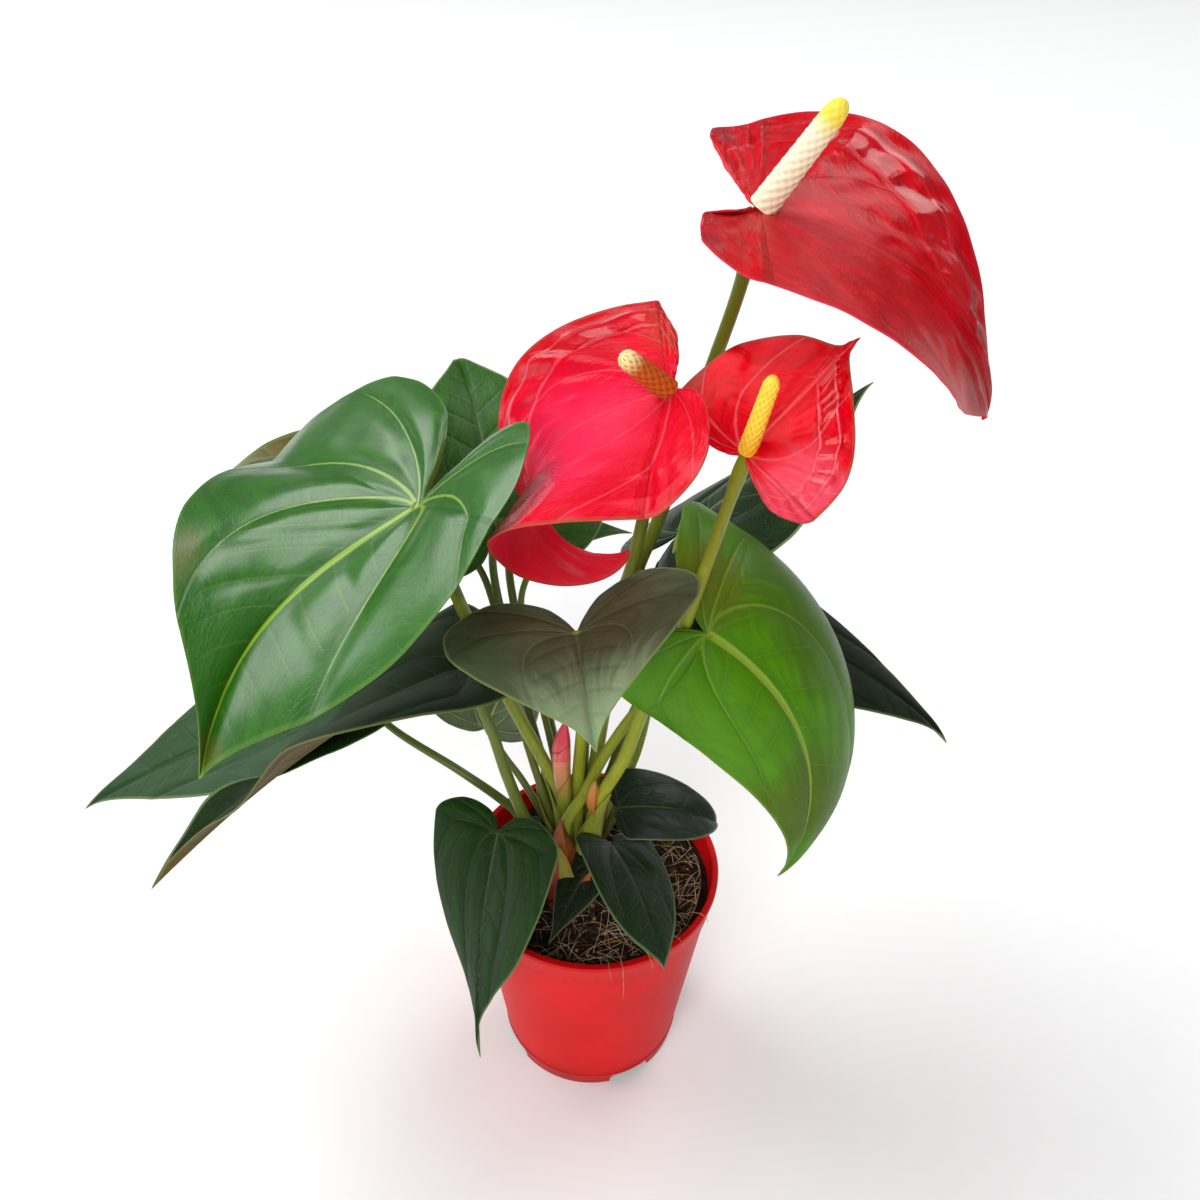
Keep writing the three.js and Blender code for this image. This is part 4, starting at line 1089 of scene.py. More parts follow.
def spatheFinish(name, look, underneath=False):
    look = {**plainSpathe, **look}
    f = Finish(name)
    flat = f.mark("flat")
    across, along, spread = [100 * c for c in f.split(flat)]
    turn, out, _ = f.split(f.mark("polar"))
    cloud = f.noise(flat, 100 / 22, 3.0)
    grain = f.noise(flat, 100 / 1.4, 3.0)
    rays = f.noise(f.together(turn * 60.0, out * 2.2, f.math("SIGN", across)), 1.0, 2.0)
    wander = f.noise(flat, 8.0, 2.0) - 0.5
    color = f.mix(f.ease(cloud, 0.3, 0.7), paint(*look["deep"]), paint(*look["body"]))
    inner = abs(out - spatheRidges["inner"] + wander * 0.02)
    outer = abs(out - spatheRidges["outer"] + wander * 0.016)
    ridged = f.ease(across, look["ridgeFrom"], look["ridgeTo"])
    lines = f.most(f.ease(inner, 0.011, 0.003), f.ease(outer, 0.009, 0.002)) * ridged
    beside = besideMains(f, turn, out, spread, wander)
    veins = f.most(f.ease(beside, 0.9, 0.2), f.ease(abs(across), 1.0, 0.3) * f.ease(along, 0.0, 1.0))
    color = f.mix(lines * look["ridgeShare"], color, paint(*look["ridge"]))
    color = f.mix(veins * look["ridgeShare"] * 0.5, color, paint(*look["ridge"]))
    color = f.mix(f.ease(rays, 0.5, 0.8) * 0.25, color, paint(*look["deep"]))
    color = tinted(f, color, look["tints"], across, along, cloud, ragged=0.8, core=0.4)
    rim = f.ease(out + (cloud - 0.5) * 0.03, 0.97, 0.995) * 0.7
    color = f.mix(rim, color, paint(*look["edge"]))
    quilt = f.noise(flat, 100 / 4.5, 2.0)
    height = rays * 0.16 + quilt * 0.3 + grain * 0.03 + veins * 0.15
    if underneath:
        color = f.mix(0.55, color, paint(*look["under"]))
        return f.surface(color, 0.45 + 0.1 * grain, height * 0.6, Coat_Weight=0.05, Specular_IOR_Level=0.25)
    rough = look["rough"] + (cloud - 0.5) * 0.12 + (grain - 0.5) * 0.05
    band = f.ease(out, 0.68, 0.76) * f.ease(out, 0.94, 0.88) * ridged * f.ease(along, -6.0, 8.0)
    dimples = f.cells(f.together(turn * look["dimples"], out * 10.0, 0.0), 1.0)
    height = height + band * f.ease(dimples, 0.15, 0.75) * look["dimpleDepth"]
    return f.surface(
        color, rough, height, Coat_Weight=look["coat"] + band * look["gloss"], Coat_Roughness=0.08,
        Specular_IOR_Level=look["shine"],
    )


# every bloom: its blade and stalk as a leaf has them, its spike and its look
blooms = dict(
    top=dict(
        base=(49, -1, 432), heading=-5, pitch=-9, roll=5, length=121, width=136, lobe=19,
        outline=wingedSpathe, rightOutline=wingedRight, droop=68, lift=12, foldL=3, foldR=7, tipL=22,
        tipR=-19, arch=1, archTip=-25, twist=7, sway=2, skew=-0.05, bendAt=1.14, pucker=0.8, puckers=9,
        wave=2, waves=2.5, ridged=-1,
        stalk=[
            (-5, 7, 124), (-1, 12, 160), (4, 12, 210), (15, 15, 278),
            (23, 18, 302), (38, 21, 360), (46, 7, 404),
        ],
        radius=[3.2, 2.2],
        spike=dict(
            to=(71, -3, 466), radius=4.6, low=(250, 240, 206), high=(250, 222, 60), changes=(0.7, 0.86),
            pit=(232, 212, 150),
        ),
        look=dict(
            body=(206, 2, 28), deep=(178, 0, 20), ridge=(214, 60, 76), edge=(186, 40, 58), ridgeShare=0.3,
            ridgeFrom=4.0, ridgeTo=-18.0, shine=0.1, coat=0.04, gloss=0.55, dimpleDepth=1.6, dimples=36.0,
            tints=(
                dict(at=(-50, -18), size=12, color=(120, 50, 60), share=0.45),
                dict(at=(40, -20), size=10, color=(120, 50, 60), share=0.4),
                # painted shade: darker crimson over the hanging tip
                dict(at=(0, 110), size=36, color=(130, 0, 14), share=0.6),
            ),
        ),
        stem=((150, 154, 48), (116, 126, 34), (96, 110, 30)),
    ),
    middle=dict(
        base=(22, -28, 382), heading=-194, pitch=-26, roll=-12, length=120, width=98, lobe=12,
        outline=bluntSpathe, rightOutline=roundLobe, droop=198, lift=9, foldL=5, foldR=37, tipL=11,
        tipR=20, arch=10, archTip=-13, twist=10, sway=3, skew=-0.27, lobeSkew=-0.6, bendAt=2.11,
        pucker=0.8, puckers=9, wave=1.5, waves=2.5,
        stalk=[
            (-7, 7, 124), (-6, 16, 165), (-4, 19, 210), (3, 9, 252),
            (12, 0, 289), (16, -2, 314), (20, -15, 358),
        ],
        radius=[3, 2.1],
        spike=dict(
            to=(6, -36, 398), radius=4, low=(190, 98, 22), high=(240, 222, 150), changes=(0.66, 0.9),
            pit=(140, 66, 14),
        ),
        look=dict(
            body=(232, 4, 48), deep=(208, 0, 30), ridge=(246, 140, 160), edge=(150, 84, 60), ridgeShare=0.35,
            ridgeFrom=-6.0, ridgeTo=14.0, rough=0.26, coat=0.1,
            tints=(
                # painted sheen: a broad pink highlight over the near half
                dict(at=(-14, 40), size=44, color=(250, 56, 104), share=0.55),
                # painted shade: darker crimson over the far side and towards the tip
                dict(at=(36, 26), size=30, color=(184, 0, 26), share=0.6),
                dict(at=(0, 108), size=30, color=(150, 6, 26), share=0.6),
                dict(at=(24, -6), size=16, color=(120, 96, 60), share=0.3),
            ),
        ),
        stem=((156, 160, 50), (124, 132, 36), (110, 116, 34)),
    ),
    small=dict(
        base=(50, -21, 356), heading=22, pitch=43, roll=11, length=53, width=80, lobe=12,
        outline=smallSpathe, rightOutline=smallRight, lift=8, foldL=14, foldR=10, arch=14,
        pucker=0.7, puckers=7, wave=1,
        stalk=[
            (-4, -4, 120), (1, -8, 166), (12, -14, 201), (20, -18, 236),
            (31, -28, 279), (35, -31, 300), (45, -24, 337),
        ],
        radius=[3, 2],
        spike=dict(
            to=(55, -30, 389), radius=3.4, low=(248, 190, 40), high=(254, 224, 70), changes=(0.05, 0.4),
            pit=(240, 176, 40),
        ),
        look=dict(
            body=(224, 8, 34), deep=(196, 2, 24), ridge=(242, 140, 150), edge=(140, 80, 56), ridgeShare=0.55,
            ridgeFrom=-8.0, ridgeTo=12.0, shine=0.08, coat=0.04, rough=0.3,
            tints=(
                dict(at=(-38, 4), size=8, color=(130, 74, 50), share=0.5),
                # painted sheen: a pale pink highlight on the right side
                dict(at=(28, 2), size=22, color=(240, 96, 118), share=0.6),
            ),
        ),
        stem=((184, 186, 62), (150, 154, 34), (136, 140, 32)),
    ),
)
# florets sit in crossing spirals round a spike that ends in a dome
spadixForm = dict(
    around=8, pitch=1.8, relief=0.11, start=0.02, dome=0.86, narrowing=0.22, columns=108, rows=150,
)


def spadixFinish(name, spike):
    f = Finish(name)
    share, floret, _ = f.split(f.mark("run"))
    place = f.place()
    mottle = f.noise(place, 260.0, 3.0)
    grain = f.noise(place, 1500.0, 2.0)
    where = share + (mottle - 0.5) * 0.14
    color = f.mix(f.ease(where, *spike["changes"]), paint(*spike["low"]), paint(*spike["high"]))
    # painted shade: the pits between the florets are darker
    color = f.mix(f.ease(floret + (grain - 0.5) * 0.3, 0.45, 0.1) * 0.65, color, paint(*spike["pit"]))
    return f.surface(color, 0.62 + (mottle - 0.5) * 0.2, grain * 0.12 + floret * 0.1, Coat_Weight=0.0)


def makeSpadix(name, bloom):
    spike = bloom["spike"]
    form = spadixForm
    start, end = np.array(bloom["base"], dtype=float), np.array(spike["to"], dtype=float)
    length = np.linalg.norm(end - start)
    way = (end - start) / length
    first = np.cross(way, (0, 1, 0))
    first = first / np.linalg.norm(first)
    second = np.cross(way, first)
    turns = math.pi * length / form["pitch"]

    def shape(u, v):
        share = form["start"] + (1 - form["start"]) * v
        angle = 2 * np.pi * u
        past = np.clip((share - form["dome"]) / (1 - form["dome"]), 0, 1)
        closing = np.sqrt(np.clip(1 - past**2, 0, 1)) * np.where(v <= 0, 0, 1)
        floret = 0.5 + 0.5 * np.cos(form["around"] * angle) * np.cos(turns * share)
        floret = floret**0.8
        radius = spike["radius"] * (1 - form["narrowing"] * share) * closing
        radius = radius * (1 + form["relief"] * (floret - 0.5) * (1 - past**6))
        point = start + np.outer(share * length, way) + offCurve(angle, radius, first, second)
        return point, {"run": (share, floret, u)}

    piece = gridSheet("spadix_" + name + "_florets", form["columns"], form["rows"], shape, closed=True)
    smooth(piece, 80)
    settle(piece, "spadix_" + name, "spadix_" + name, finishes=[spadixFinish(name + "Spadix", spike)])


def makeBloom(name, bloom):
    finishes = [
        spatheFinish(name + "Spathe", bloom["look"]),
        spatheFinish(name + "SpatheBack", bloom["look"], underneath=True),
    ]
    blade = makeBlade(name + "_spathe", bloom, *spatheDetail, spatheThickness, spatheRelief, finishes)
    settle(blade, "spathe_" + name, "spathe_" + name)
    makeStem(name, bloom, "peduncle_" + name, "flower_stalk")
    makeSpadix(name, bloom)


for bloomName, bloomSpec in blooms.items():
    makeBloom(bloomName, bloomSpec)
print("stage: blooms")

# the bud is a spathe still rolled up, standing out of its sheath, which ends at the mouth
budForm = dict(
    root=(-11, 2, 120), mouth=(-15, -1, 190), tip=(-13, -2, 213), radius=4.2, split=0.5, foot=0.75,
    width=0.94, sharp=1.7, blunt=0.05, waist=0.08, sheathFades=0.25, tipFades=0.8,
    sheathTube=dict(ridge=0.04, sides=28, step=1.6), tipTube=dict(ridge=0.03, sides=36, step=0.8),
    red=(206, 34, 62), deepRed=(150, 16, 36), pink=(222, 96, 92), peach=(220, 130, 98),
    green=(130, 150, 40), seam=(170, 110, 60),
)


# a colour that fades into another from start to end, with a seam that winds up the roll
def budFinish(name, low, high, seam, start, end):
    f = Finish(name)
    share, _, around = f.split(f.mark("run"))
    share = (share - start) / (end - start)
    place = f.place()
    mottle = f.noise(place, 220.0, 3.0)
    streaks = f.noise(f.stretched(place, 1.0, 1.0, 0.15), 900.0, 3.0)
    color = f.mix(f.ease(share + (mottle - 0.5) * 0.25, 0.0, 1.0), paint(*low), paint(*high))
    turn = f.math("PINGPONG", around - share * 0.8 + 0.1, 0.5)
    line = f.ease(turn, 0.035, 0.008)
    color = f.mix(line * 0.8, color, paint(*seam))
    color = f.mix(f.ease(streaks, 0.5, 0.75) * 0.3, color, paint(*seam))
    return f.surface(color, 0.32 + (mottle - 0.5) * 0.12, streaks * 0.08 - line * 0.3, Coat_Weight=0.35)


def makeBud():
    form = budForm
    points = [form["root"], form["mouth"], form["tip"]]
    split = form["split"]

    def sheathRadius(share):
        return form["radius"] * (form["foot"] + (1 - form["foot"]) * share / split)

    def tipRadius(share):
        s = (share - split) / (1 - split)
        closing = form["width"] * (1 - s ** form["sharp"]) + form["blunt"]
        return form["radius"] * closing * (1 + form["waist"] * math.sin(3 * s))

    green, peach, seam = form["green"], form["peach"], form["seam"]
    finish = budFinish("budSheath", green, peach, seam, form["sheathFades"], split)
    sheath = makeTube("bud_sheath", points, sheathRadius, high=split, **form["sheathTube"])
    settle(sheath, "crown", finishes=[finish])
    finish = budFinish("budTip", form["pink"], form["red"], form["deepRed"], split, form["tipFades"])
    tip = makeTube("bud_tip", points, tipRadius, low=split, **form["tipTube"])
    settle(tip, "bud", "bud", finishes=[finish])


# the crown is a short scarred stem wrapped in sheaths and papery scales
crownForm = dict(
    x=-8, y=2, foot=96, top=126, radius=8.5, dome=0.6, lumps=0.1, flutes=0.04, around=64, rows=40,
    bark=(104, 78, 46), deepBark=(52, 36, 24), fibre=(146, 112, 68), scar=(30, 22, 16),
)
sheathColours = dict(
    green=dict(body=(160, 168, 84), tip=(132, 144, 68), dry=(150, 104, 58)),
    pale=dict(body=(176, 184, 74), tip=(138, 152, 48), dry=(160, 116, 66)),
    paper=dict(body=(146, 50, 36), tip=(200, 112, 54), dry=(92, 32, 24)),
    boat=dict(body=(176, 160, 70), tip=(158, 162, 60), dry=(170, 100, 48)),
    dried=dict(body=(190, 120, 52), tip=(214, 150, 84), dry=(146, 84, 40)),
    brown=dict(body=(98, 62, 40), tip=(128, 84, 50), dry=(58, 38, 26)),
)
# a sheath reaches high up its stalk, as a share of it, swells beyond it and wraps a share of the way round
plainSheath = dict(tone="green", high=0.2, swell=1.4, wrap=0.8)
leafSheaths = dict(
    left_large=dict(tone="pale", high=0.22, swell=1.75, wrap=0.84), front_bronze=dict(high=0.24, swell=1.5),
    left_folded=dict(swell=1.45), right_bright=dict(high=0.16), left_low={},
    right_dark=dict(tone="brown", high=0.16), back_left={}, back_middle=dict(tone="brown"),
    back_right=dict(high=0.14), left_young=dict(high=0.16, swell=1.5),
    front_low=dict(tone="brown", high=0.3), back_low=dict(tone="brown", high=0.25),
)
bloomSheaths = dict(
    small=dict(tone="pale", swell=1.75, wrap=0.84), middle=dict(high=0.18), top=dict(high=0.16),
)
plainScale = dict(lobe=7, outline=lanceScale, arch=24, wave=0.5, waves=1.5)
scaleForm = dict(columns=48, rows=14, thickness=0.5, dryShare=0.5, relief=0.35)
scales = dict(
    bract_front=dict(base=(-8, -21, 113), heading=-52, pitch=103, length=50, width=25, fold=44, tone="paper"),
    bract_left=dict(base=(-15, -18, 113), heading=-128, pitch=88, length=38, width=16, fold=46, tone="boat"),
    bract_side=dict(base=(-3, -20, 111), heading=-44, pitch=84, length=27, width=13, fold=44, tone="paper"),
    bract_right=dict(base=(1, 3, 104), heading=5, pitch=80, length=22, width=14, fold=42, tone="brown"),
    bract_back=dict(base=(-6, 11, 104), heading=80, pitch=82, length=24, width=15, fold=42, tone="brown"),
    bract_rear=dict(base=(-16, 8, 104), heading=135, pitch=80, length=22, width=14, fold=42, tone="paper"),
    bract_high=dict(base=(0, -14, 173), heading=-70, pitch=84, length=17, width=8, fold=52, tone="dried"),
    shred_left=dict(base=(-16, -18, 111), heading=-120, pitch=40, length=12, width=5, fold=30, tone="brown"),
    shred_front=dict(base=(-6, -20, 111), heading=-75, pitch=36, length=13, width=5, fold=28, tone="brown"),
    shred_low=dict(base=(-11, -20, 111), heading=-95, pitch=22, length=12, width=4, fold=20, tone="brown"),
)


def crownFinish():
    form = crownForm
    f = Finish("crownBark")
    place = f.place()
    fibres = f.noise(f.stretched(place, 1.0, 1.0, 0.2), 700.0, 4.0)
    rings = f.noise(f.stretched(place, 0.2, 0.2, 1.0), 420.0, 3.0)
    mottle = f.noise(place, 150.0, 4.0)
    color = f.mix(f.ease(mottle, 0.35, 0.65), paint(*form["deepBark"]), paint(*form["bark"]))
    color = f.mix(f.ease(fibres, 0.55, 0.8) * 0.7, color, paint(*form["fibre"]))
    color = f.mix(f.ease(rings, 0.55, 0.75) * 0.5, color, paint(*form["scar"]))
    return f.surface(color, 0.8, fibres * 0.5 + rings * 0.6, Specular_IOR_Level=0.3)


def makeCrown():
    form = crownForm
    height = form["top"] - form["foot"]

    def shape(u, v):
        angle = 2 * np.pi * u
        past = np.clip((v - form["dome"]) / (1 - form["dome"]), 0, 1)
        closing = np.sqrt(np.clip(1 - past**2, 0, 1)) * np.where(v <= 0, 0, 1)
        bumps = form["lumps"] * hills(9 * np.cos(angle) + 20, 30 * v + 9 * np.sin(angle), 6, 8)
        radius = form["radius"] * closing * (1 + bumps + form["flutes"] * np.cos(5 * angle + 9 * v))
        x, y = form["x"] + radius * np.cos(angle), form["y"] + radius * np.sin(angle)
        return np.column_stack([x, y, form["foot"] + height * v]), {}

    core = gridSheet("crown_core", form["around"], form["rows"], shape, closed=True)
    smooth(core, 60)
    settle(core, "crown", "crown", finishes=[crownFinish()])
    for table, stalks in ((leafSheaths, leaves), (bloomSheaths, blooms)):
        for name, spec in table.items():
            sheath = {**plainSheath, **spec}
            finish = sheathFinish(name + "Sheath", **sheathColours[sheath.pop("tone")])
            makeSheath(name + "_sheath", stalks[name], finish, **sheath)
    for name, scale in scales.items():
        makeScale(name, scale)


def scaleRelief(b, side, turn, out, x, y, spread):
    return scaleForm["relief"] * hills(side * x, y, 4, 6) * eased(out, 0.05, 0.3)


# a scale is a small blade that wears a sheath's finish
def makeScale(name, scale):
    form = scaleForm
    blade = {**plainScale, **scale, "foldL": scale["fold"], "foldR": scale["fold"]}
    finish = sheathFinish(name + "Scale", **sheathColours[scale["tone"]], dryShare=form["dryShare"])
    detail = (form["columns"], form["rows"], form["thickness"])
    piece = makeBlade(name, blade, *detail, scaleRelief, [finish, finish])
    marks = piece.data.attributes
    _, out, side = triples(marks["polar"].data, "vector").T
    along = triples(marks["flat"].data, "vector")[:, 1] * 100
    margin = 0.5 + 0.5 * out * side
    addMark(piece.data, "run", [margin, np.clip(along / scale["length"], 0, 1), margin])
    settle(piece, "crown")


makeBud()
makeCrown()
print("stage: bud and crown")

# the pot is a red moulded nursery pot: a tapered wall on a low foot, with a small ring above its drain
# notches, a collar under the rim and a lip round it
potForm = dict(
    height=118, rim=60, base=44, wall=1.6, floor=2, collar=16, collarProud=0.8, lip=2.6, lipProud=1.2,
    standWide=8, standStep=1, standHigh=0.6, ringAt=7.2, ringProud=0.35, ringStart=0.3, ringEnd=1.0,
    ringHigh=1.4, notchWide=22, notchHigh=5.5, notchReach=12, notchRound=2.2, notches=4, firstNotch=-62,
    edgeRound=0.4, sides=168, red=(214, 22, 26), deepRed=(190, 12, 18), worn=(232, 90, 78),
    darkBrown=(60, 34, 26),
)


def wallAt(z):
    form = potForm
    return form["base"] + (form["rim"] - form["lipProud"] - form["base"]) * z / form["height"]


def potFinish():
    form = potForm
    f = Finish("redPlastic")
    place = f.place()
    x, y, z = f.split(place)
    radius = f.math("SQRT", x * x + y * y)
    mottle = f.noise(place, 22.0, 3.0)
    grain = f.noise(place, 1600.0, 2.0)
    drawn = f.noise(f.stretched(place, 1.0, 1.0, 0.06), 420.0, 3.0)
    color = f.mix(f.ease(mottle, 0.3, 0.7) * 0.6 + 0.4, paint(*form["deepRed"]), paint(*form["red"]))
    scuffs = f.ease(f.noise(f.stretched(place, 1.0, 1.0, 0.3), 130.0, 5.0, 0.65), 0.62, 0.74)
    high = f.ease(z, 0.106, 0.118)
    color = f.mix(scuffs * (0.12 + 0.3 * high), color, paint(*form["worn"]))
    specks = f.ease(f.cells(place, 210.0), 0.13, 0.06) * f.ease(f.noise(place, 60.0, 2.0), 0.52, 0.62)
    specks = specks * (0.25 + 0.55 * f.ease(z, 0.09, 0.112))
    # the pot is darker towards its foot
    footDarkening = f.ease(z + (mottle - 0.5) * 0.02, 0.02, 0.0) * 0.35
    top = wallAt(form["height"])
    inside = f.ease(radius, top * mm, (top - 1.2) * mm) * f.ease(z, 0.1, 0.104)
    dusty = inside * f.ease(f.noise(place, 300.0, 4.0), 0.5, 0.7) * 0.35
    for darkMark in (specks, footDarkening, dusty):
        color = f.mix(darkMark, color, paint(*form["darkBrown"]))
    rough = 0.42 + scuffs * 0.15 + (mottle - 0.5) * 0.1
    return f.surface(color, rough, drawn * 0.06 + grain * 0.015, Coat_Weight=0.0, Specular_IOR_Level=0.12)


def makePot():
    form = potForm
    foot, lipFoot, top = form["height"] - form["collar"], form["height"] - form["lip"], form["height"]
    ring, proud, stand = form["ringAt"], form["collarProud"], wallAt(0) - form["standWide"]
    profile = np.array([
        (0, form["standHigh"]), (stand, form["standHigh"]), (stand + form["standStep"], 0), (wallAt(0), 0),
        (wallAt(ring), ring), (wallAt(ring) + form["ringProud"], ring + form["ringStart"]),
        (wallAt(ring) + form["ringProud"], ring + form["ringEnd"]), (wallAt(ring), ring + form["ringHigh"]),
        (wallAt(foot), foot), (wallAt(foot) + proud, foot + proud), (wallAt(lipFoot) + proud, lipFoot),
        (form["rim"], lipFoot), (form["rim"], top), (wallAt(top) - form["wall"], top),
        (wallAt(form["floor"]) - form["wall"], form["floor"]), (0, form["floor"]),
    ], dtype=float)
    rows = len(profile) - 1

    def shape(u, v):
        at = profile[np.rint(v * rows).astype(int)]
        angle = 2 * np.pi * u
        return np.column_stack([at[:, 0] * np.cos(angle), at[:, 0] * np.sin(angle), at[:, 1]]), {}

    pot = gridSheet("pot_shell", form["sides"], rows, shape, closed=True)
    cutters = []
    reach, wide, high = (form[key] * mm for key in ("notchReach", "notchWide", "notchHigh"))
    for i in range(form["notches"]):
        angle = math.radians(form["firstNotch"] + 360 * i / form["notches"])
        deselectAll()
        bpy.ops.mesh.primitive_cube_add(
            size=1, scale=(reach, wide, 2 * high), rotation=(0, 0, angle),
            location=(form["base"] * math.cos(angle) * mm, form["base"] * math.sin(angle) * mm, 0),
        )
        cutter = bpy.context.object
        bpy.ops.object.transform_apply(location=True, rotation=True, scale=True)
        applied(cutter, "BEVEL", width=form["notchRound"] * mm, segments=4, limit_method="ANGLE")
        cutters.append(cutter)
    cutter = joined(cutters, "notch_cutter")
    applied(pot, "BOOLEAN", object=cutter, operation="DIFFERENCE", solver="EXACT")
    bpy.data.objects.remove(cutter, do_unlink=True)
    applied(
        pot, "BEVEL", width=form["edgeRound"] * mm, segments=3, limit_method="ANGLE",
        angle_limit=math.radians(40), use_clamp_overlap=True,
    )
    smooth(pot, 35)
    settle(pot, "pot", "pot", finishes=[potFinish()])


makePot()
print("stage: pot")

# the soil is dark peat with crumbs and coir
soilForm = dict(
    top=108, waves=1.4, drop=1.5, foot=3.0, gap=0.45, rough=1.3, edgeBand=5, around=240, rows=80,
    crumbReach=51.5, crumbSeed=40, fibreReach=52, fibreSeed=70,
    peat=(58, 44, 34), deepPeat=(24, 18, 14), coir=(142, 112, 76),
    mounds=[
        dict(x=46, y=-6, wide=7, deep=16, high=3.2),
        dict(x=crownForm["x"], y=crownForm["y"], wide=14, deep=14, high=2.5),
    ],
)


# where the soil meets the pot's wall at a height
def soilEdge(z):
    return wallAt(z) - potForm["wall"] - soilForm["gap"]


def soilHeight(x, y):
    form = soilForm
    edge = soilEdge(form["top"])
    broad = np.sin(0.31 * x + 1.3) * np.cos(0.27 * y - 0.4)
    height = form["waves"] * (broad + np.sin(0.53 * x - 0.47 * y)) / 2
    rough = hills(x, y, 5.5, 11) * 0.55 + hills(x, y, 2.4, 12) * 0.3 + hills(x, y, 1.2, 13) * 0.15
    height = height + form["rough"] * rough
    for mound in form["mounds"]:
        asideX, asideY = (x - mound["x"]) / mound["wide"], (y - mound["y"]) / mound["deep"]
        height = height + mound["high"] * np.exp(-(asideX**2) - asideY**2)
    calm = 1 - eased(np.hypot(x, y), edge - form["edgeBand"], edge)
    return form["top"] + height * calm - form["drop"] * (1 - calm)


def soilFinish(name, light, dark, fibre):
    f = Finish(name)
    place = f.place()
    lumps = f.noise(place, 330.0, 5.0, 0.65)
    broad = f.noise(place, 60.0, 3.0)
    crumbs = f.cells(place, 620.0)
    color = f.mix(f.ease(lumps + (broad - 0.5) * 0.4, 0.35, 0.68), paint(*dark), paint(*light))
    # painted shade: darker in the gaps between the crumbs
    color = f.mix(f.ease(crumbs, 0.55, 0.9) * 0.6, color, paint(*[c * 0.4 for c in dark]))
    strands = f.ease(f.noise(f.stretched(place, 1.0, 0.16, 1.0), 1100.0, 3.0, 0.6, 1.5), 0.64, 0.7)
    threads = f.ease(f.noise(f.stretched(place, 0.16, 1.0, 1.0), 1000.0, 3.0, 0.6, 1.5), 0.65, 0.71)
    color = f.mix(f.most(strands, threads) * 0.16, color, paint(*fibre))
    return f.surface(color, 0.93, lumps * 0.9 - crumbs * 0.5, Specular_IOR_Level=0.2)


def makeSoil():
    form = soilForm
    edge, footEdge, rows = soilEdge(form["top"]), soilEdge(form["foot"]), form["rows"]

    def shape(u, v):
        angle = 2 * np.pi * u
        row = np.rint(v * rows)
        # two rows make the underside and the side, the rest spread over the top
        share = np.clip(1 - (row - 2) / (rows - 2), 0, 1)
        radius = np.where(row == 0, 0, np.where(row == 1, footEdge, edge * share))
        x, y = radius * np.cos(angle), radius * np.sin(angle)
        z = np.where(row <= 1, form["foot"], soilHeight(x, y))
        return np.column_stack([x, y, z]), {}

    ground = gridSheet("peat", form["around"], rows, shape, closed=True)
    smooth(ground, 50)
    finish = soilFinish("peat", form["peat"], form["deepPeat"], form["coir"])
    settle(ground, "soil", "soil", finishes=[finish])
    makeCrumbs()
    makeFibres()


crumbGroups = [
    dict(name="crumbs_dark", count=420, size=(0.7, 2.0), light=(58, 42, 30), dark=(22, 16, 12)),
    dict(name="crumbs_brown", count=260, size=(0.6, 1.7), light=(104, 74, 46), dark=(58, 40, 26)),
    dict(name="crumbs_pale", count=60, size=(0.5, 1.2), light=(176, 148, 104), dark=(120, 92, 60)),
]


def makeCrumbs():
    for number, group in enumerate(crumbGroups):
        draw = np.random.default_rng(soilForm["crumbSeed"] + number)
        deselectAll()
        bpy.ops.mesh.primitive_ico_sphere_add(subdivisions=1, radius=1)
        seed = bpy.context.object
        ball = triples(seed.data.vertices, "co")
        copies = []
        for _ in range(group["count"]):
            angle, radius = draw.random() * 2 * math.pi, soilForm["crumbReach"] * math.sqrt(draw.random())
            x, y = radius * math.cos(angle), radius * math.sin(angle)
            size = draw.uniform(*group["size"])
            crumb = ball * draw.uniform(0.65, 1.25, ball.shape) * size * draw.uniform(0.6, 1.3, 3)
            spot = np.array([x, y, float(soilHeight(x, y)) + 0.25 * size])
            copy = seed.copy()
            copy.data = seed.data.copy()
            bpy.context.collection.objects.link(copy)
            copy.data.vertices.foreach_set("co", ((crumb + spot) * mm).ravel())
            copies.append(copy)
        bpy.data.objects.remove(seed, do_unlink=True)
        heap = joined(copies, group["name"])
        smooth(heap, 30)
        finish = soilFinish(group["name"], group["light"], group["dark"], group["light"])
        settle(heap, "soil", finishes=[finish])


fibreGroups = [
    dict(
        name="fibres_tan", count=230, thick=(0.15, 0.3), long=(10, 32), color=(196, 164, 136),
        bright=(232, 206, 180),
    ),
    dict(
        name="fibres_orange", count=60, thick=(0.2, 0.42), long=(10, 30), color=(166, 110, 62),
        bright=(204, 146, 90),
    ),
    dict(
        name="fibres_dark", count=110, thick=(0.2, 0.45), long=(8, 30), color=(58, 40, 28),
        bright=(92, 66, 42),
    ),
]
# strands that hang over the rim: where they cross it, how far in they start and how far down they hang,
# and one stops on it
overRim = [
    dict(at=(14, -59), back=16, hang=24, thick=0.42), dict(at=(8, -59.5), back=12, hang=8, thick=0.35),
    dict(at=(26, -53.5), back=18, hang=8, thick=0.45), dict(at=(46, -38), back=20, hang=0, thick=0.5),
    dict(at=(40, -44), back=15, hang=3, thick=0.4), dict(at=(51, -30), back=12, hang=4, thick=0.4),
]


def fibreFinish(name, color, bright):
    f = Finish(name)
    place = f.place()
    mottle = f.noise(place, 240.0, 3.0)
    grain = f.noise(place, 1800.0, 2.0)
    tone = f.mix(f.ease(mottle, 0.3, 0.7), paint(*color), paint(*bright))
    tone = f.mix(f.ease(grain, 0.5, 0.8) * 0.4, tone, paint(*[c * 0.6 for c in color]))
    return f.surface(tone, 0.8, grain * 0.1, Specular_IOR_Level=0.3)


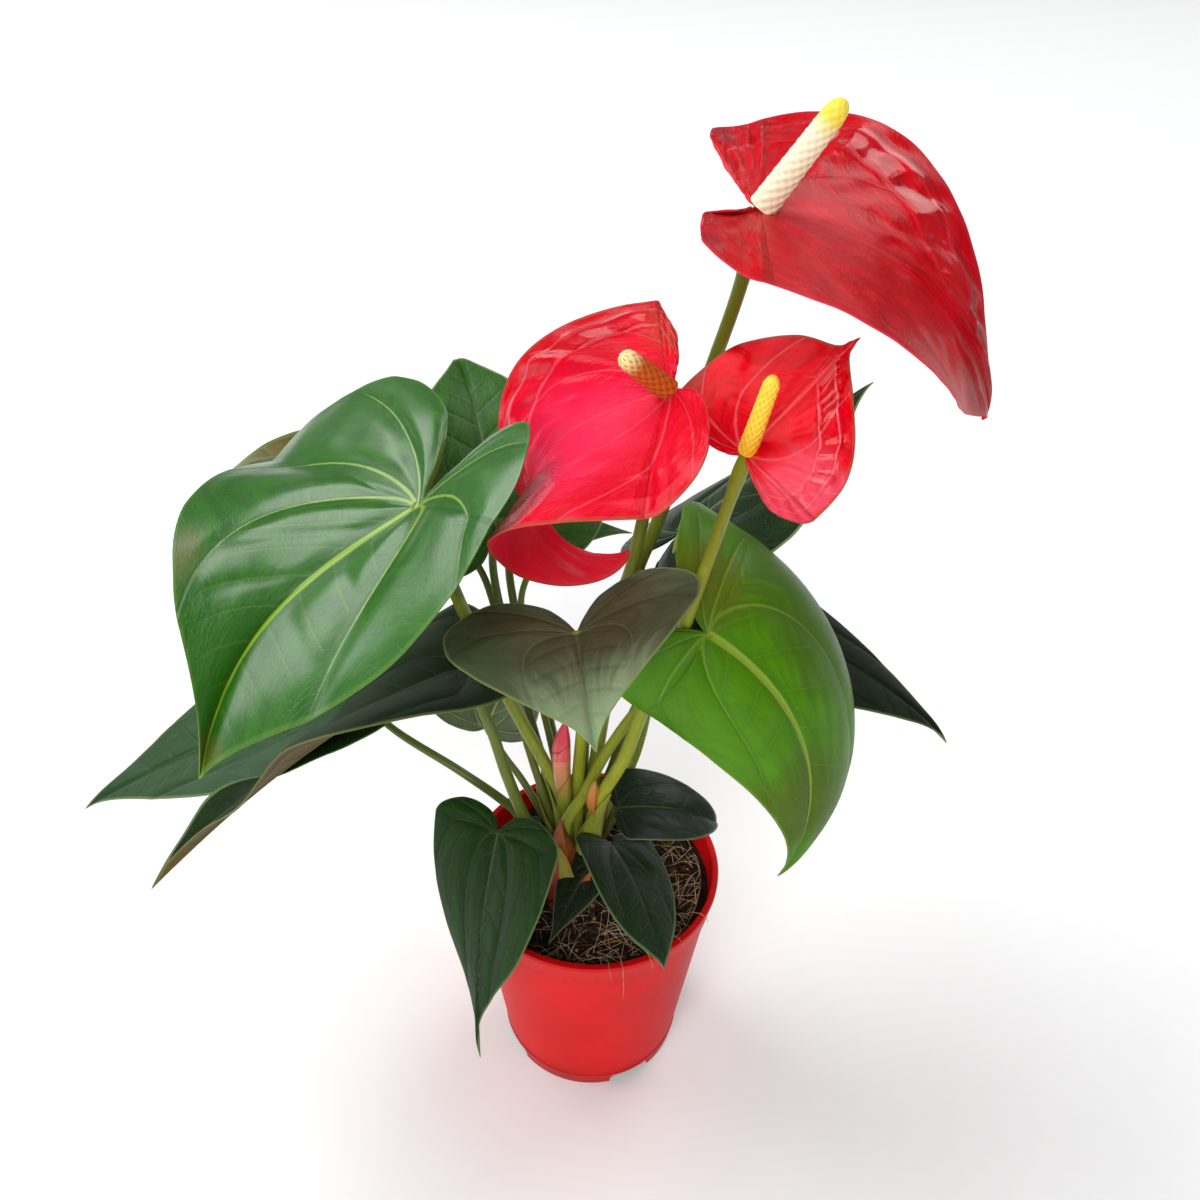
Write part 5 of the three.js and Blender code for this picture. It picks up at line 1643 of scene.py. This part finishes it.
# one fibre, thinner towards both of its ends
def strandOf(points, thick, name="strand"):
    curve = bpy.data.curves.new(name, "CURVE")
    curve.dimensions = "3D"
    curve.bevel_depth = thick * mm / 2
    curve.bevel_resolution = 0
    curve.use_fill_caps = True
    line = curve.splines.new("POLY")
    line.points.add(len(points) - 1)
    for i, point in enumerate(points):
        line.points[i].co = (*(np.array(point) * mm), 1)
        line.points[i].radius = 1 - 0.6 * abs(2 * i / (len(points) - 1) - 1) ** 3
    strand = bpy.data.objects.new(name, curve)
    bpy.context.collection.objects.link(strand)
    return strand


def makeFibres(steps=7):
    reach = soilForm["fibreReach"]
    for number, group in enumerate(fibreGroups):
        draw = np.random.default_rng(soilForm["fibreSeed"] + number)
        strands = []
        for _ in range(group["count"]):
            # more of them lie to the front and to the right
            angle = draw.vonmises(-0.9, 0.9)
            radius = reach * draw.random() ** 0.33
            x, y = radius * math.cos(angle), radius * math.sin(angle)
            heading, bend = draw.random() * 2 * math.pi, draw.uniform(-0.04, 0.04)
            length, lift = draw.uniform(*group["long"]), draw.uniform(0.3, 3.2)
            points = []
            for k in range(steps + 1):
                share = k / steps
                radius = math.hypot(x, y)
                if radius > reach:
                    x, y = x * reach / radius, y * reach / radius
                rise = lift * math.sin(math.pi * share) + 0.2 - 0.5 * abs(2 * share - 1) ** 4
                points.append((x, y, float(soilHeight(x, y)) + rise))
                x += math.cos(heading) * length / steps
                y += math.sin(heading) * length / steps
                heading += bend + draw.uniform(-0.05, 0.05)
            strands.append(strandOf(points, draw.uniform(*group["thick"])))
        if group["name"] == "fibres_orange":
            strands += [hangingStrand(hang) for hang in overRim]
        pick(*strands)
        bpy.ops.object.convert(target="MESH")
        tangle = joined(list(bpy.context.selected_objects), group["name"])
        smooth(tangle, 60)
        settle(tangle, "soil", finishes=[fibreFinish(group["name"], group["color"], group["bright"])])


def hangingStrand(hang):
    x, y = hang["at"]
    away = math.hypot(x, y)
    reach, rimTop = potForm["rim"] + 0.5, potForm["height"]

    def spot(out, height, aside=0.0):
        return (x / away * out + aside, y / away * out, height)

    start = spot(away - hang["back"], 0)
    start = (*start[:2], float(soilHeight(*start[:2])))
    over = spot(reach - 2.5, rimTop + 0.9)
    rise = ((start[0] + over[0]) / 2, (start[1] + over[1]) / 2, (start[2] + over[2]) / 2 + 2.2)
    points = [start, rise, over]
    if hang["hang"] > 0:
        points.append(spot(reach + 0.3, rimTop - 0.6))
        points.append(spot(reach + 0.5, rimTop - hang["hang"] * 0.5, 0.6))
        points.append(spot(reach - 0.5, rimTop - hang["hang"], 0.9))
    return strandOf(points, hang["thick"])


makeSoil()
print("stage: soil")
